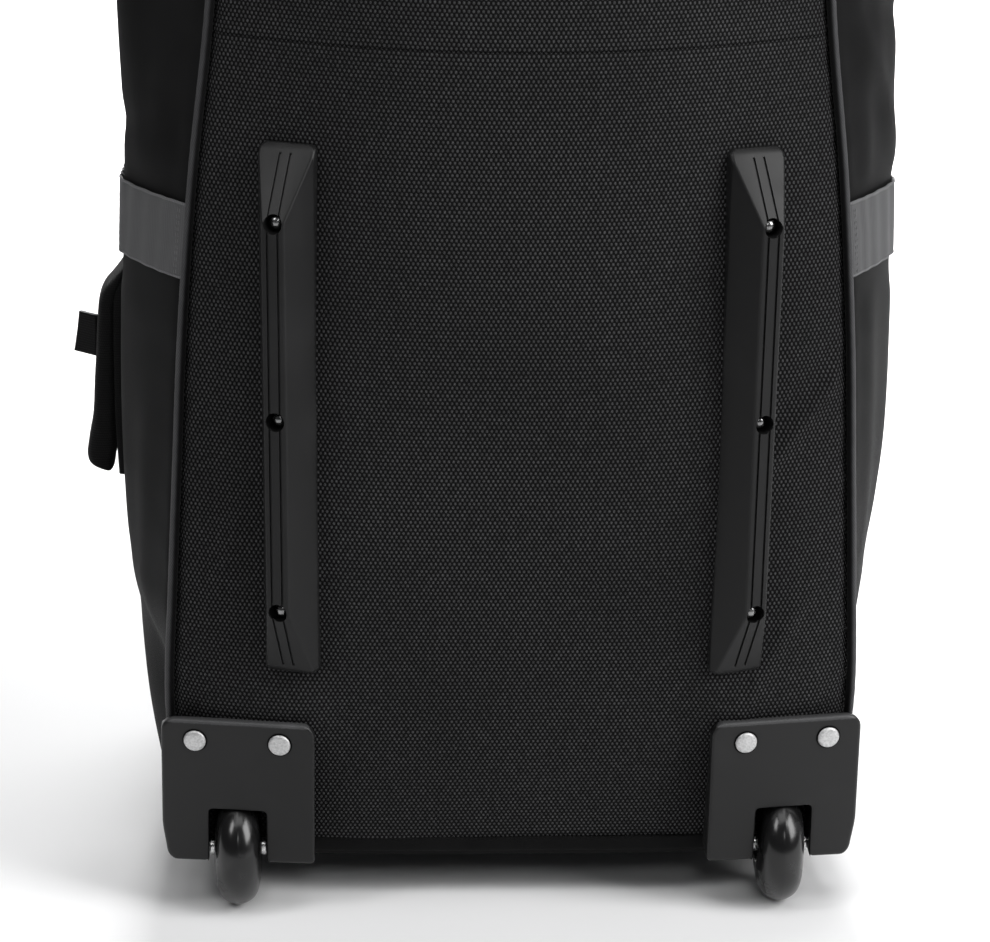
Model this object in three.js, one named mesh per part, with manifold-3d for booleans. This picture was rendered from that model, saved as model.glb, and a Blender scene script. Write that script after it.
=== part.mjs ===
// Wheeled golf travel bag, standing on two wheels and two front feet.
// Millimetres, +Z up. The wheeled back faces -Y, and depth is measured from the rearmost cloth.
import * as THREE from 'three';
import { mergeVertices } from 'three/addons/utils/BufferGeometryUtils.js';
import Module from 'manifold-3d';

const wasm = await Module();
wasm.setup();

// Gaps and cloth
const GAP = 0.3;
const SEAT_GAP = 0.4;
const BACK_CLOTH = 2.5;
const SIDE_CLOTH = 2.0;
const PIPING_RADIUS = 2.4;
const PIPING_CLEAR = 3.2;

// Shift that puts the origin under the middle of the whole bag
const SHIFT_X = 13;
const SHIFT_Y = -150;

// Body heights
const PANEL_BOTTOM = 29.4;
const SEAM_Z = 450;
const CORNER_Z = 1135;
const PIPING_TOP = 1245;
const TOP_BULGE = 45;

// One row for each height of the body: half width and depth of the back piping, how far the back
// bulges behind it and how boxy that bulge is, how far the left and the right side bulge, and the
// front edge's figures
const BODY_FIGURES = ['pipe', 'depth', 'back', 'power', 'left', 'right', 'front', 'far', 'belly'];
const BODY_ROWS = [
  [20, 169.5, 53, 18, 4, 13, 13, 150, 284, 12],
  [75, 170.8, 39.5, 19, 3.9, 21, 15, 150, 284, 15],
  [117, 172.4, 34.5, 22, 3.6, 23.6, 17, 150, 282, 18],
  [170, 170.2, 32, 26, 3, 26.9, 19, 150, 279, 21],
  [230, 167.5, 32.5, 30.5, 2.6, 31.9, 26.9, 150, 276, 25],
  [300, 164.3, 35, 35, 2.4, 34.8, 30.3, 149, 272, 28],
  [380, 158.4, 40, 40, 2.25, 38, 34.1, 147, 269, 32],
  [460, 149.7, 45, 45, 2.1, 47.6, 42, 144, 267, 35],
  [560, 143, 48, 48, 2, 51, 49, 141, 266, 37],
  [800, 140, 49, 49, 2, 53, 53, 139, 266, 38],
  [1135, 138, 50, 46, 2, 51, 51, 138, 265, 36],
  [1300, 138, 52, 40, 2, 46, 46, 138, 263, 30],
].map(([z, ...figures]) => {
  const named = BODY_FIGURES.map((name, i) => [name, figures[i]]);
  return { z, ...Object.fromEntries(named) };
});
const CORNER_RADIUS = 110;
const TOP_FLAT = 138 - CORNER_RADIUS;
const SIDE_RISE = 0.24;
const SIDE_FALL = 0.5;
const RISE_TURN = 1.25;
const FALL_TURN = 1.8;

// Where the guards hold the side cloth in: heights and shares of the depth from held to free
const HOLD_LOW = 98;
const HOLD_HIGH = 165;
const HOLD_NEAR = 0.13;
const HOLD_FAR = 0.34;

// Wheels and their guards
const WHEEL_X = 138.3;
const WHEEL_Y = 33;
const WHEEL_RADIUS = 30.5;
const WHEEL_CLEAR = 1;
const AXLE_RADIUS = 3.5;
const COLLAR_RADIUS = 5;
const HOUSING_HALF = 18;
const SLOT_HALF = 14.5;
const HOUSING_TOP = 66.5;
const HOUSING_BACK = 72;
const HOUSING_BOTTOM = 25;
const GUARD_BOTTOM = 27.5;
const GUARD_TOP = 103;
const GUARD_INNER = 99.5;
const GUARD_OUTER = 176.4;
const GUARD_RETURN = 34;
const GUARD_YAW = Math.tan(THREE.MathUtils.degToRad(9));
const GUARD_LEAN = Math.tan(THREE.MathUtils.degToRad(4));
const GUARD_FACE_Y = 13.5;
const GUARD_RIM = 2.2;
const GUARD_CORNER = 5;
const GUARD_FALL = 1;
const GUARD_RIVET_Z = 94.9;
const GUARD_RIVET_REACH = 21.2;
const GUARD_RIVET_RADIUS = 5.6;

// Skid rails
const RAIL_X = 112;
const RAIL_Z = { left: 268.6, right: 267 };
const RAIL_LEAN = THREE.MathUtils.degToRad(0.6);
const RAIL_TILT = THREE.MathUtils.degToRad(20);
const RAIL_BASE_Y = 15.5;
const RAIL_BASE_HALF = 14.2;
const RAIL_SLOPE = 0.42;
const RAIL_SKIRT = 11.5;
const RAIL_GROOVE = 2.7;
const RAIL_GROOVE_HALF = 0.6;
const RAIL_HOLE_RADIUS = 4.75;
const RAIL_HOLE_STEP = 98.5;
const RAIL_HOLE_FLOOR = 6.5;
const RAIL_RIVET_RADIUS = 3.9;
// One row for each section of a rail, from its lower to its upper end: place, height, end rounding, groove depth
const RAIL_ROWS = [
  { along: -133, height: 3.0, trim: 2.2, groove: 0.3 },
  { along: -131, height: 3.9, trim: 0.6, groove: 0.6 },
  { along: -127, height: 5.6, trim: 0, groove: 1 },
  { along: -98.5, height: 20, trim: 0, groove: 1 },
  { along: 98.5, height: 20, trim: 0, groove: 1 },
  { along: 127, height: 1.2, trim: 0, groove: 1 },
  { along: 131, height: -1.4, trim: 0.6, groove: 0.6 },
  { along: 133, height: -2.7, trim: 2.2, groove: 0.3 },
];

// Webbing, handle and closure
const BAND_BOTTOM = 330;
const BAND_TOP = 366;
const BAND_DROOP = 2;
const BAND_THICK = 1.6;
const HANDLE_T = 0.42;
const HANDLE_WIDTH = 30;
const HANDLE_CHAMFER = 2;
const TAB_BOTTOM = 261;
const TAB_TOP = 282.5;
const TAB_REACH = 12.4;
const TAB_TURN = THREE.MathUtils.degToRad(40);
const TAB_THICK = 2.4;
const ZIP_HALF = 7;
const ZIP_THICK = 2.4;
const ZIP_INSET = 28;

// Base and feet
const BASE_BOTTOM = 24;
const BASE_TOP = 29;
const FOOT_X = 118;
const FOOT_Y = 250;
const FOOT_TOP = BASE_BOTTOM - GAP;

// Materials, with colours as they look in the photograph
function material(name, color, roughness, metalness = 0) {
  const made = new THREE.MeshStandardMaterial({ color, roughness, metalness });
  made.name = name;
  return made;
}
const BALLISTIC = material('ballistic_cloth', 0x1d1d1f, 0.85);
const SIDE_FABRIC = material('side_cloth', 0x1a1a1c, 0.8);
const CORD = material('piping_cord', 0x46464a, 0.75);
const GREY_WEBBING = material('grey_webbing', 0x626264, 0.85);
const BLACK_WEBBING = material('black_webbing', 0x18181a, 0.85);
const PLASTIC = material('moulded_plastic', 0x262628, 0.5);
const TYRE = material('wheel_rubber', 0x121213, 0.3);
const METAL = material('bright_metal', 0xc4c4c6, 0.3, 1);

// Smooth interpolation of the body's table at one height
function bodyAt(z) {
  const last = BODY_ROWS.length - 1;
  let i = 0;
  while (i < last - 1 && z > BODY_ROWS[i + 1].z) i += 1;
  const a = BODY_ROWS[i];
  const b = BODY_ROWS[i + 1];
  const before = BODY_ROWS[Math.max(0, i - 1)];
  const after = BODY_ROWS[Math.min(last, i + 2)];
  const span = b.z - a.z;
  const t = THREE.MathUtils.clamp((z - a.z) / span, 0, 1);
  const row = {};
  for (const key of BODY_FIGURES) {
    const slopeA = i > 0 ? (b[key] - before[key]) / (b.z - before.z) : (b[key] - a[key]) / span;
    const slopeB = i < last - 1 ? (after[key] - a[key]) / (after.z - a.z) : (b[key] - a[key]) / span;
    const t2 = t * t;
    const t3 = t2 * t;
    row[key] = (2 * t3 - 3 * t2 + 1) * a[key] + (t3 - 2 * t2 + t) * span * slopeA;
    row[key] += (3 * t2 - 2 * t3) * b[key] + (t3 - t2) * span * slopeB;
  }
  return row;
}

// Half width of a panel's outline with its rounded top corners, set in from the piping by an inset
function outlineHalf(z, half, inset = 0) {
  if (z <= CORNER_Z) return half - inset;
  const radius = CORNER_RADIUS - inset;
  const rise = Math.min(z - CORNER_Z, radius);
  return TOP_FLAT + Math.sqrt(radius ** 2 - rise ** 2);
}

// How much of a panel's bulge is left towards its top edge
function topFade(z) {
  const reach = THREE.MathUtils.clamp((z - 980) / (PIPING_TOP - 980), 0, 1);
  return 1 - reach ** 2.5;
}

function backPoint(u, z) {
  const row = bodyAt(z);
  const half = outlineHalf(z, row.pipe);
  const bulge = row.back * topFade(z) * (1 - Math.abs(u / half) ** row.power);
  return new THREE.Vector3(u, row.depth - bulge, z);
}

function frontPoint(u, z) {
  const row = bodyAt(z);
  const half = outlineHalf(z, row.front);
  const bulge = row.belly * topFade(z) * (1 - Math.abs(u / half) ** 2.2);
  return new THREE.Vector3(u, row.far + bulge, z);
}

// Share of the side's bulge: a slant from the back, a flat along the side and a slow fall to the front
function sideShape(t) {
  const fromBack = 1 - (1 - Math.min(t / SIDE_RISE, 1)) ** RISE_TURN;
  const fromFront = 1 - (1 - Math.min((1 - t) / SIDE_FALL, 1)) ** FALL_TURN;
  return fromBack * fromFront;
}

// Share of the side's bulge that is left where a guard holds the cloth in
function heldShare(t, z) {
  const up = THREE.MathUtils.smoothstep(z, HOLD_LOW, HOLD_HIGH);
  const along = THREE.MathUtils.smoothstep(t, HOLD_NEAR, HOLD_FAR);
  return 1 - (1 - up) * (1 - along);
}

// Point across a side, from the back piping at t = 0 to the front piping at t = 1
function sidePoint(sign, t, z) {
  const row = bodyAt(z);
  const flat = THREE.MathUtils.lerp(row.pipe, row.front, t);
  const swell = sign < 0 ? row.left : row.right;
  const out = flat + swell * sideShape(t) * heldShare(t, z);
  return new THREE.Vector3(sign * out, THREE.MathUtils.lerp(row.depth, row.far, t), z);
}

// Point across the top, where angle 0 is the left corner's start and PI is the right corner's end
function topPoint(angle, t) {
  const row = bodyAt(CORNER_Z + CORNER_RADIUS * Math.sin(angle));
  const middle = angle < Math.PI / 2 ? -TOP_FLAT : TOP_FLAT;
  const bulge = THREE.MathUtils.lerp(row.left, TOP_BULGE, Math.sin(angle)) * sideShape(t);
  const radius = CORNER_RADIUS + bulge;
  const x = middle - radius * Math.cos(angle);
  const y = THREE.MathUtils.lerp(row.depth, row.far, t);
  return new THREE.Vector3(x, y, CORNER_Z + radius * Math.sin(angle));
}

function steps(from, to, count) {
  return Array.from({ length: count + 1 }, (_, i) => from + ((to - from) * i) / count);
}

function indexed(vertices, triangles) {
  const geometry = new THREE.BufferGeometry();
  const flat = vertices.flatMap((v) => [v.x, v.y, v.z]);
  geometry.setAttribute('position', new THREE.Float32BufferAttribute(flat, 3));
  geometry.setIndex(triangles.flat());
  return geometry;
}

// Positive volume means that the faces look outward
function facingOut(geometry) {
  const p = geometry.getAttribute('position');
  const index = geometry.getIndex().array;
  const [a, b, c] = [new THREE.Vector3(), new THREE.Vector3(), new THREE.Vector3()];
  let volume = 0;
  for (let i = 0; i < index.length; i += 3) {
    a.fromBufferAttribute(p, index[i]);
    b.fromBufferAttribute(p, index[i + 1]);
    c.fromBufferAttribute(p, index[i + 2]);
    volume += a.dot(b.cross(c));
  }
  if (volume < 0) {
    for (let i = 0; i < index.length; i += 3) [index[i], index[i + 1]] = [index[i + 1], index[i]];
  }
  return geometry;
}

// Closed cloth sheet: a grid of outer points, and the same grid set back by the cloth's thickness
function sheet(grid, thickness) {
  const rows = grid.length;
  const columns = grid[0].length;
  const within = (i, count) => THREE.MathUtils.clamp(i, 0, count - 1);
  const at = (i, j) => grid[within(i, rows)][within(j, columns)];
  const outer = grid.flat();
  const inner = [];
  for (let i = 0; i < rows; i += 1) {
    for (let j = 0; j < columns; j += 1) {
      const down = at(i + 1, j).clone().sub(at(i - 1, j));
      const across = at(i, j + 1).clone().sub(at(i, j - 1));
      const normal = down.cross(across).normalize();
      inner.push(at(i, j).clone().addScaledVector(normal, thickness));
    }
  }
  const id = (i, j, layer) => layer * rows * columns + i * columns + j;
  const triangles = [];
  const quad = (a, b, c, d) => triangles.push([a, b, c], [a, c, d]);
  for (let i = 0; i < rows - 1; i += 1) {
    for (let j = 0; j < columns - 1; j += 1) {
      quad(id(i, j, 0), id(i, j + 1, 0), id(i + 1, j + 1, 0), id(i + 1, j, 0));
      quad(id(i, j, 1), id(i + 1, j, 1), id(i + 1, j + 1, 1), id(i, j + 1, 1));
    }
  }
  for (let j = 0; j < columns - 1; j += 1) {
    quad(id(0, j, 0), id(0, j, 1), id(0, j + 1, 1), id(0, j + 1, 0));
    quad(id(rows - 1, j, 0), id(rows - 1, j + 1, 0), id(rows - 1, j + 1, 1), id(rows - 1, j, 1));
  }
  for (let i = 0; i < rows - 1; i += 1) {
    quad(id(i, 0, 0), id(i + 1, 0, 0), id(i + 1, 0, 1), id(i, 0, 1));
    const last = columns - 1;
    quad(id(i, last, 0), id(i, last, 1), id(i + 1, last, 1), id(i + 1, last, 0));
  }
  return facingOut(indexed([...outer, ...inner], triangles));
}

// Solid through a row of rings with equal counts, closed by flat ends; flatten gives a ring in 2D
function loft(rings, flatten) {
  const count = rings[0].length;
  const vertices = rings.flat();
  const triangles = [];
  for (let i = 0; i < rings.length - 1; i += 1) {
    for (let j = 0; j < count; j += 1) {
      const k = (j + 1) % count;
      const a = i * count;
      const b = a + count;
      triangles.push([a + j, a + k, b + k], [a + j, b + k, b + j]);
    }
  }
  const ends = [[0, true], [(rings.length - 1) * count, false]];
  for (const [start, reverse] of ends) {
    const ring = vertices.slice(start, start + count).map(flatten);
    const clockwise = THREE.ShapeUtils.area(ring) < 0;
    for (const [a, b, c] of THREE.ShapeUtils.triangulateShape(ring, [])) {
      const face = [start + a, start + b, start + c];
      if (reverse !== clockwise) face.reverse();
      triangles.push(face);
    }
  }
  return facingOut(indexed(vertices, triangles));
}

// Round cord along a curve that stays near the plane facing Y
function cord(points, radius, sides) {
  const rings = points.map((point, i) => {
    const ahead = points[Math.min(points.length - 1, i + 1)];
    const behind = points[Math.max(0, i - 1)];
    const tangent = ahead.clone().sub(behind).normalize();
    const across = new THREE.Vector3(0, 1, 0).cross(tangent).normalize();
    const out = tangent.clone().cross(across);
    return steps(0, 2 * Math.PI, sides).slice(0, sides).map((angle) => {
      const ringPoint = point.clone().addScaledVector(across, radius * Math.cos(angle));
      return ringPoint.addScaledVector(out, radius * Math.sin(angle));
    });
  });
  return loft(rings, (v) => new THREE.Vector2(v.x, v.y));
}

function solid(geometry) {
  const bare = geometry.clone();
  bare.deleteAttribute('normal');
  bare.deleteAttribute('uv');
  const merged = mergeVertices(bare, 1e-3);
  const index = merged.getIndex() ?? { array: steps(0, merged.getAttribute('position').count - 1) };
  return new wasm.Manifold(new wasm.Mesh({
    numProp: 3,
    vertProperties: Float32Array.from(merged.getAttribute('position').array),
    triVerts: Uint32Array.from(index.array),
  }));
}

function geometryOf(made) {
  const mesh = made.getMesh();
  const geometry = new THREE.BufferGeometry();
  geometry.setAttribute('position', new THREE.Float32BufferAttribute(Array.from(mesh.vertProperties), 3));
  geometry.setIndex(Array.from(mesh.triVerts));
  return geometry;
}

function box(x0, x1, y0, y1, z0, z1) {
  const made = new THREE.BoxGeometry(x1 - x0, y1 - y0, z1 - z0);
  return made.translate((x0 + x1) / 2, (y0 + y1) / 2, (z0 + z1) / 2);
}

// Closed outline of the body at one height, set outward by a margin
function bodyRing(z, margin) {
  const ring = [];
  const row = bodyAt(z);
  for (const u of steps(-row.pipe, row.pipe, 16)) ring.push(backPoint(u, z));
  for (const t of steps(0, 1, 10).slice(1)) ring.push(sidePoint(1, t, z));
  for (const u of steps(row.front, -row.front, 10).slice(1)) ring.push(frontPoint(u, z));
  for (const t of steps(1, 0, 10).slice(1, -1)) ring.push(sidePoint(-1, t, z));
  return ring.map((point, i) => {
    const ahead = ring[(i + 1) % ring.length];
    const behind = ring[(i + ring.length - 1) % ring.length];
    const along = ahead.clone().sub(behind).normalize();
    return new THREE.Vector3(point.x + along.y * margin, point.y - along.x * margin, z);
  });
}

function bodyBlock(bottom, top, count, margin) {
  const rings = steps(bottom, top, count).map((z) => bodyRing(z, margin));
  return solid(loft(rings, (v) => new THREE.Vector2(v.x, v.y)));
}

// Curves of the two pipings, from the left base over the top to the right base
function pipingCurve(bottom, halfKey, depthKey) {
  const up = [...steps(bottom, 460, 10), ...steps(460, CORNER_Z, 5).slice(1)];
  const left = up.map((z) => new THREE.Vector3(-bodyAt(z)[halfKey], bodyAt(z)[depthKey], z));
  const over = [];
  const turn = [...steps(0, Math.PI / 2, 6).slice(1), ...steps(Math.PI / 2, Math.PI, 6).slice(0, -1)];
  for (const angle of turn) {
    const middle = over.length < 6 ? -TOP_FLAT : TOP_FLAT;
    const z = CORNER_Z + CORNER_RADIUS * Math.sin(angle);
    over.push(new THREE.Vector3(middle - CORNER_RADIUS * Math.cos(angle), bodyAt(z)[depthKey], z));
  }
  const right = up.map((z) => new THREE.Vector3(bodyAt(z)[halfKey], bodyAt(z)[depthKey], z)).reverse();
  return [...left, ...over, ...right];
}

const root = new THREE.Group();
root.name = 'golf_travel_bag';
root.position.set(SHIFT_X, SHIFT_Y, 0);

function piece(name, geometry, look) {
  geometry.computeVertexNormals();
  const mesh = new THREE.Mesh(geometry, look);
  mesh.name = name;
  root.add(mesh);
  return mesh;
}

// Moulding spaces that the cloth leaves free for the wheel housings
function housingBox(sign, margin) {
  const x0 = sign * WHEEL_X - HOUSING_HALF - margin;
  const x1 = sign * WHEEL_X + HOUSING_HALF + margin;
  return box(x0, x1, 10, HOUSING_BACK + margin, 5, HOUSING_TOP + margin);
}
const housingSpace = solid(housingBox(-1, SEAT_GAP)).add(solid(housingBox(1, SEAT_GAP)));

// Back panels, in two lengths that meet at the seam
function backSheet(heights, columns, lift, thickness) {
  const grid = heights.map((z) => {
    const half = outlineHalf(z, bodyAt(z).pipe, PIPING_CLEAR - lift);
    return steps(-1, 1, columns).map((u) => {
      const point = backPoint(Math.sign(u) * half * Math.abs(u) ** 0.85, z);
      return point.setY(point.y - lift);
    });
  });
  return sheet(grid, thickness);
}
const lowerHeights = [PANEL_BOTTOM, 50, 75, 100, 130, 165, 200, 240, 290, 340, 390, SEAM_Z - GAP];
const lowerBack = solid(backSheet(lowerHeights, 14, 0, BACK_CLOTH)).subtract(housingSpace);
const backFit = solid(backSheet(lowerHeights, 14, SEAT_GAP, 18));
piece('lower_back_panel', geometryOf(lowerBack), BALLISTIC);
const upperHeights = [SEAM_Z, 510, 580, 700, 850, 1000, 1080, 1135, 1170, 1200, 1222, 1236, 1241.6];
piece('upper_back_panel', backSheet(upperHeights, 12, 0, BACK_CLOTH), BALLISTIC);

// Front panel
const frontHeights = [PANEL_BOTTOM, 130, 240, 380, 520, 700, 880, 1020, 1135, 1175, 1208, 1230, 1241.6];
const frontGrid = frontHeights.map((z) => {
  const half = outlineHalf(z, bodyAt(z).front, PIPING_CLEAR);
  return steps(-half, half, 10).map((u) => frontPoint(u, z));
});
piece('front_panel', sheet(frontGrid, -SIDE_CLOTH), SIDE_FABRIC);

// Sides and top
const SIDE_EDGE = 0.0145;
const TOP_STEPS = 5;
const sideSteps = [SIDE_EDGE, 0.05, 0.1, 0.16, 0.24, 0.38, 0.53, 0.67, 0.8, 0.91, 1 - SIDE_EDGE];
const sideHeights = [PANEL_BOTTOM, 60, 95, 130, 170, 210, 255, 310, 370, 430, 500, 600, 740, 900, 1040];
sideHeights.push(CORNER_Z - 2 * GAP);
const sideFits = {};
for (const [name, sign] of [['left', -1], ['right', 1]]) {
  const grid = sideHeights.map((z) => sideSteps.map((t) => sidePoint(sign, t, z)));
  const lifted = grid.map((row) => row.map((v) => new THREE.Vector3(v.x + sign * SEAT_GAP, v.y, v.z)));
  sideFits[name] = solid(sheet(lifted, sign * 8));
  const made = solid(sheet(grid, sign * SIDE_CLOTH)).subtract(housingSpace);
  piece(`${name}_side_panel`, geometryOf(made), SIDE_FABRIC);
}
const topAngles = [...steps(0, Math.PI / 2, TOP_STEPS), ...steps(Math.PI / 2, Math.PI, TOP_STEPS)];
const topGrid = topAngles.map((angle, i) => {
  const left = i <= TOP_STEPS;
  const side = left ? angle : Math.PI - angle;
  return sideSteps.map((t) => {
    const point = topPoint(side, t);
    return left ? point : point.setX(-point.x);
  });
});
piece('top_panel', sheet(topGrid, -SIDE_CLOTH), SIDE_FABRIC);

// Pipings
const backCurve = pipingCurve(PANEL_BOTTOM, 'pipe', 'depth');
piece('back_piping', cord(backCurve, PIPING_RADIUS, 6), CORD);
piece('front_piping', cord(pipingCurve(PANEL_BOTTOM, 'front', 'far'), PIPING_RADIUS, 6), CORD);

// Base board with room for the housings
const baseBlock = bodyBlock(BASE_BOTTOM, BASE_TOP, 1, 0);
piece('base_panel', geometryOf(baseBlock.subtract(housingSpace)), PLASTIC);

// Webbing bands round the sides
const bandSteps = [0.02, 0.05, 0.1, 0.16, 0.24, 0.38, 0.53, 0.67, 0.8, 0.91, 0.97];
for (const [name, sign] of [['left', -1], ['right', 1]]) {
  const lift = SEAT_GAP + BAND_THICK;
  const grid = [BAND_BOTTOM, BAND_TOP].map((edge) => bandSteps.map((t) => {
    const z = edge - BAND_DROOP * Math.sin(Math.PI * t);
    const point = sidePoint(sign, t, z);
    const along = sidePoint(sign, t + 0.01, z).sub(point).normalize();
    return point.add(new THREE.Vector3(sign * along.y, -sign * along.x, 0).multiplyScalar(lift));
  }));
  const made = solid(sheet(grid, sign * (BAND_THICK + 2))).subtract(sideFits[name]);
  piece(`${name}_band`, geometryOf(made), GREY_WEBBING);
}

// Slack side handle: one row for each height, with how far its inner and outer face are off the body
const HANDLE_ROWS = [
  { up: 306, inner: 0.6, outer: 4.6 },
  { up: 299, inner: 0.9, outer: 10.2 },
  { up: 292, inner: 1.7, outer: 15.0 },
  { up: 280, inner: 2.5, outer: 16.4 },
  { up: 259, inner: 2.7, outer: 17.3 },
  { up: 239, inner: 2.8, outer: 19.4 },
  { up: 222, inner: 3.2, outer: 22.0 },
  { up: 214, inner: 3.9, outer: 23.6 },
  { up: 207, inner: 5.3, outer: 24.2 },
  { up: 203.6, inner: 6.8, outer: 21.4 },
];
const handleMiddle = sidePoint(-1, HANDLE_T, 260).y;
const HANDLE_SHARES = [HANDLE_T - 0.064, HANDLE_T, HANDLE_T + 0.064];
const handleRings = HANDLE_ROWS.map(({ up, inner, outer }) => {
  const body = Math.min(...HANDLE_SHARES.map((t) => sidePoint(-1, t, up).x));
  const wide = HANDLE_WIDTH / 2;
  const cut = Math.min(HANDLE_CHAMFER, (outer - inner) / 3);
  const corners = [[inner, -wide + cut], [inner, wide - cut], [inner + cut, wide], [outer - cut, wide]];
  corners.push([outer, wide - cut], [outer, -wide + cut], [outer - cut, -wide], [inner + cut, -wide]);
  return corners.map(([off, w]) => new THREE.Vector3(body - off, handleMiddle + w, up));
});
piece('side_handle', loft(handleRings, (v) => new THREE.Vector2(v.y, v.x)), BLACK_WEBBING);

// Webbing tab on the handle, turned away from the back
const tabRow = HANDLE_ROWS[4];
const tabMiddle = (TAB_BOTTOM + TAB_TOP) / 2;
const tabStart = sidePoint(-1, HANDLE_SHARES[0], tabMiddle).x - tabRow.outer - SEAT_GAP - TAB_THICK / 2;
const tab = box(-TAB_REACH, 0, -TAB_THICK / 2, TAB_THICK / 2, TAB_BOTTOM, TAB_TOP);
piece('handle_tab', tab.rotateZ(-TAB_TURN).translate(tabStart, handleMiddle, 0), BLACK_WEBBING);

// Plain closure strip on the front
const zipCurve = pipingCurve(200, 'front', 'far').map((v) => {
  const x = v.z > CORNER_Z ? v.x * 0.8 : v.x - Math.sign(v.x) * ZIP_INSET;
  return new THREE.Vector2(x, Math.min(v.z, CORNER_Z) + Math.max(0, v.z - CORNER_Z) * 0.74);
});
const zipGrid = zipCurve.map((v, i) => {
  const ahead = zipCurve[Math.min(zipCurve.length - 1, i + 1)];
  const along = ahead.clone().sub(zipCurve[Math.max(0, i - 1)]).normalize();
  return [-ZIP_HALF, ZIP_HALF].map((w) => {
    const point = frontPoint(v.x - along.y * w, v.y + along.x * w);
    return point.setY(point.y + SEAT_GAP + ZIP_THICK);
  });
});
const frontLifted = frontGrid.map((row) => row.map((v) => new THREE.Vector3(v.x, v.y + SEAT_GAP, v.z)));
const frontFit = solid(sheet(frontLifted, -12));
piece('front_zip', geometryOf(solid(sheet(zipGrid, ZIP_THICK + 3)).subtract(frontFit)), BLACK_WEBBING);

// Wheel guards, each a moulding fitted to the body with a housing round the wheel
const bodyFit = bodyBlock(HOUSING_BOTTOM - 5, 130, 5, SEAT_GAP);
const pipingFit = solid(cord(backCurve.slice(0, 6), PIPING_RADIUS + SEAT_GAP, 10));
const pipingFitRight = solid(cord(backCurve.slice(-6), PIPING_RADIUS + SEAT_GAP, 10));

function roundedOutline(x0, x1, y0, y1, radius) {
  const shape = new THREE.Shape();
  shape.moveTo(x0 + radius, y0);
  shape.lineTo(x1 - radius, y0);
  shape.absarc(x1 - radius, y0 + radius, radius, -Math.PI / 2, 0, false);
  shape.lineTo(x1, y1 - radius);
  shape.absarc(x1 - radius, y1 - radius, radius, 0, Math.PI / 2, false);
  shape.lineTo(x0 + radius, y1);
  shape.absarc(x0 + radius, y1 - radius, radius, Math.PI / 2, Math.PI, false);
  shape.lineTo(x0, y0 + radius);
  shape.absarc(x0 + radius, y0 + radius, radius, Math.PI, 1.5 * Math.PI, false);
  return shape;
}

// Turns a front view drawn in X and height so that it faces -Y, and slants it like a guard's face
function guardPlace(geometry) {
  geometry.rotateX(Math.PI / 2);
  const p = geometry.getAttribute('position');
  for (let i = 0; i < p.count; i += 1) {
    const across = (p.getX(i) - WHEEL_X) * GUARD_YAW;
    const down = (GUARD_RIVET_Z - p.getZ(i)) * GUARD_LEAN;
    p.setY(i, p.getY(i) + GUARD_FACE_Y + across + down);
  }
  return geometry;
}

function mirrored(geometry, sign) {
  if (sign > 0) return geometry;
  return facingOut(mergeVertices(geometry.scale(-1, 1, 1), 1e-3));
}

function bare(geometry) {
  geometry.deleteAttribute('normal');
  geometry.deleteAttribute('uv');
  return mergeVertices(geometry, 1e-3);
}

const guardSides = [GUARD_INNER + GUARD_RIM, GUARD_OUTER - GUARD_RIM];
const guardHeights = [GUARD_BOTTOM + GUARD_RIM, GUARD_TOP - GUARD_RIM];

// Front view of a guard: its lower edge falls a little outward, and its lower outer corner is drawn in
function guardOutline() {
  const [x0, x1] = guardSides;
  const [low, high] = guardHeights;
  const r = GUARD_CORNER;
  const shape = new THREE.Shape();
  shape.moveTo(x0 + 1, low + GUARD_FALL);
  shape.lineTo(x1 - 8, low - GUARD_FALL);
  shape.bezierCurveTo(x1 - 3.6, low - GUARD_FALL, x1 - 2, low + 4, x1, low + 20);
  shape.lineTo(x1, high - r);
  shape.absarc(x1 - r, high - r, r, 0, Math.PI / 2, false);
  shape.lineTo(x0 + r, high);
  shape.absarc(x0 + r, high - r, r, Math.PI / 2, Math.PI, false);
  shape.lineTo(x0, low + GUARD_FALL + 1);
  return shape;
}

function guardBlank(sign) {
  const bevel = { bevelSize: GUARD_RIM, bevelThickness: GUARD_RIM, bevelSegments: 2 };
  const options = { depth: GUARD_RETURN, curveSegments: 3, ...bevel };
  const made = bare(new THREE.ExtrudeGeometry(guardOutline(), options));
  made.translate(0, 0, -GUARD_RETURN - GUARD_RIM);
  return mirrored(guardPlace(made), sign);
}

function wheelCylinder(sign, radius, half, segments) {
  const made = new THREE.CylinderGeometry(radius, radius, 2 * half, segments);
  made.rotateZ(Math.PI / 2);
  return made.translate(sign * WHEEL_X, WHEEL_Y, WHEEL_RADIUS);
}

// Room for the wheel: a round well about the axle, open downward and to the rear
function slotSpace(sign) {
  const x0 = sign * WHEEL_X - SLOT_HALF;
  const well = solid(wheelCylinder(sign, WHEEL_RADIUS + WHEEL_CLEAR, SLOT_HALF, 32));
  const wellBack = WHEEL_Y + WHEEL_RADIUS + WHEEL_CLEAR;
  return well.add(solid(box(x0, x0 + 2 * SLOT_HALF, -20, wellBack, -10, WHEEL_RADIUS)));
}

for (const [name, sign] of [['left', -1], ['right', 1]]) {
  const blank = solid(guardBlank(sign)).subtract(bodyFit).subtract(backFit).subtract(sideFits[name]);
  const plate = blank.subtract(sign < 0 ? pipingFit : pipingFitRight);
  const x0 = sign * WHEEL_X - HOUSING_HALF;
  const housing = solid(box(x0, x0 + 2 * HOUSING_HALF, 22, HOUSING_BACK, HOUSING_BOTTOM, HOUSING_TOP));
  const moulded = plate.add(housing).subtract(slotSpace(sign));
  const drilled = moulded.subtract(solid(wheelCylinder(sign, AXLE_RADIUS + GAP, 30, 16)));
  piece(`${name}_wheel_guard`, geometryOf(drilled), PLASTIC);
}

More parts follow.
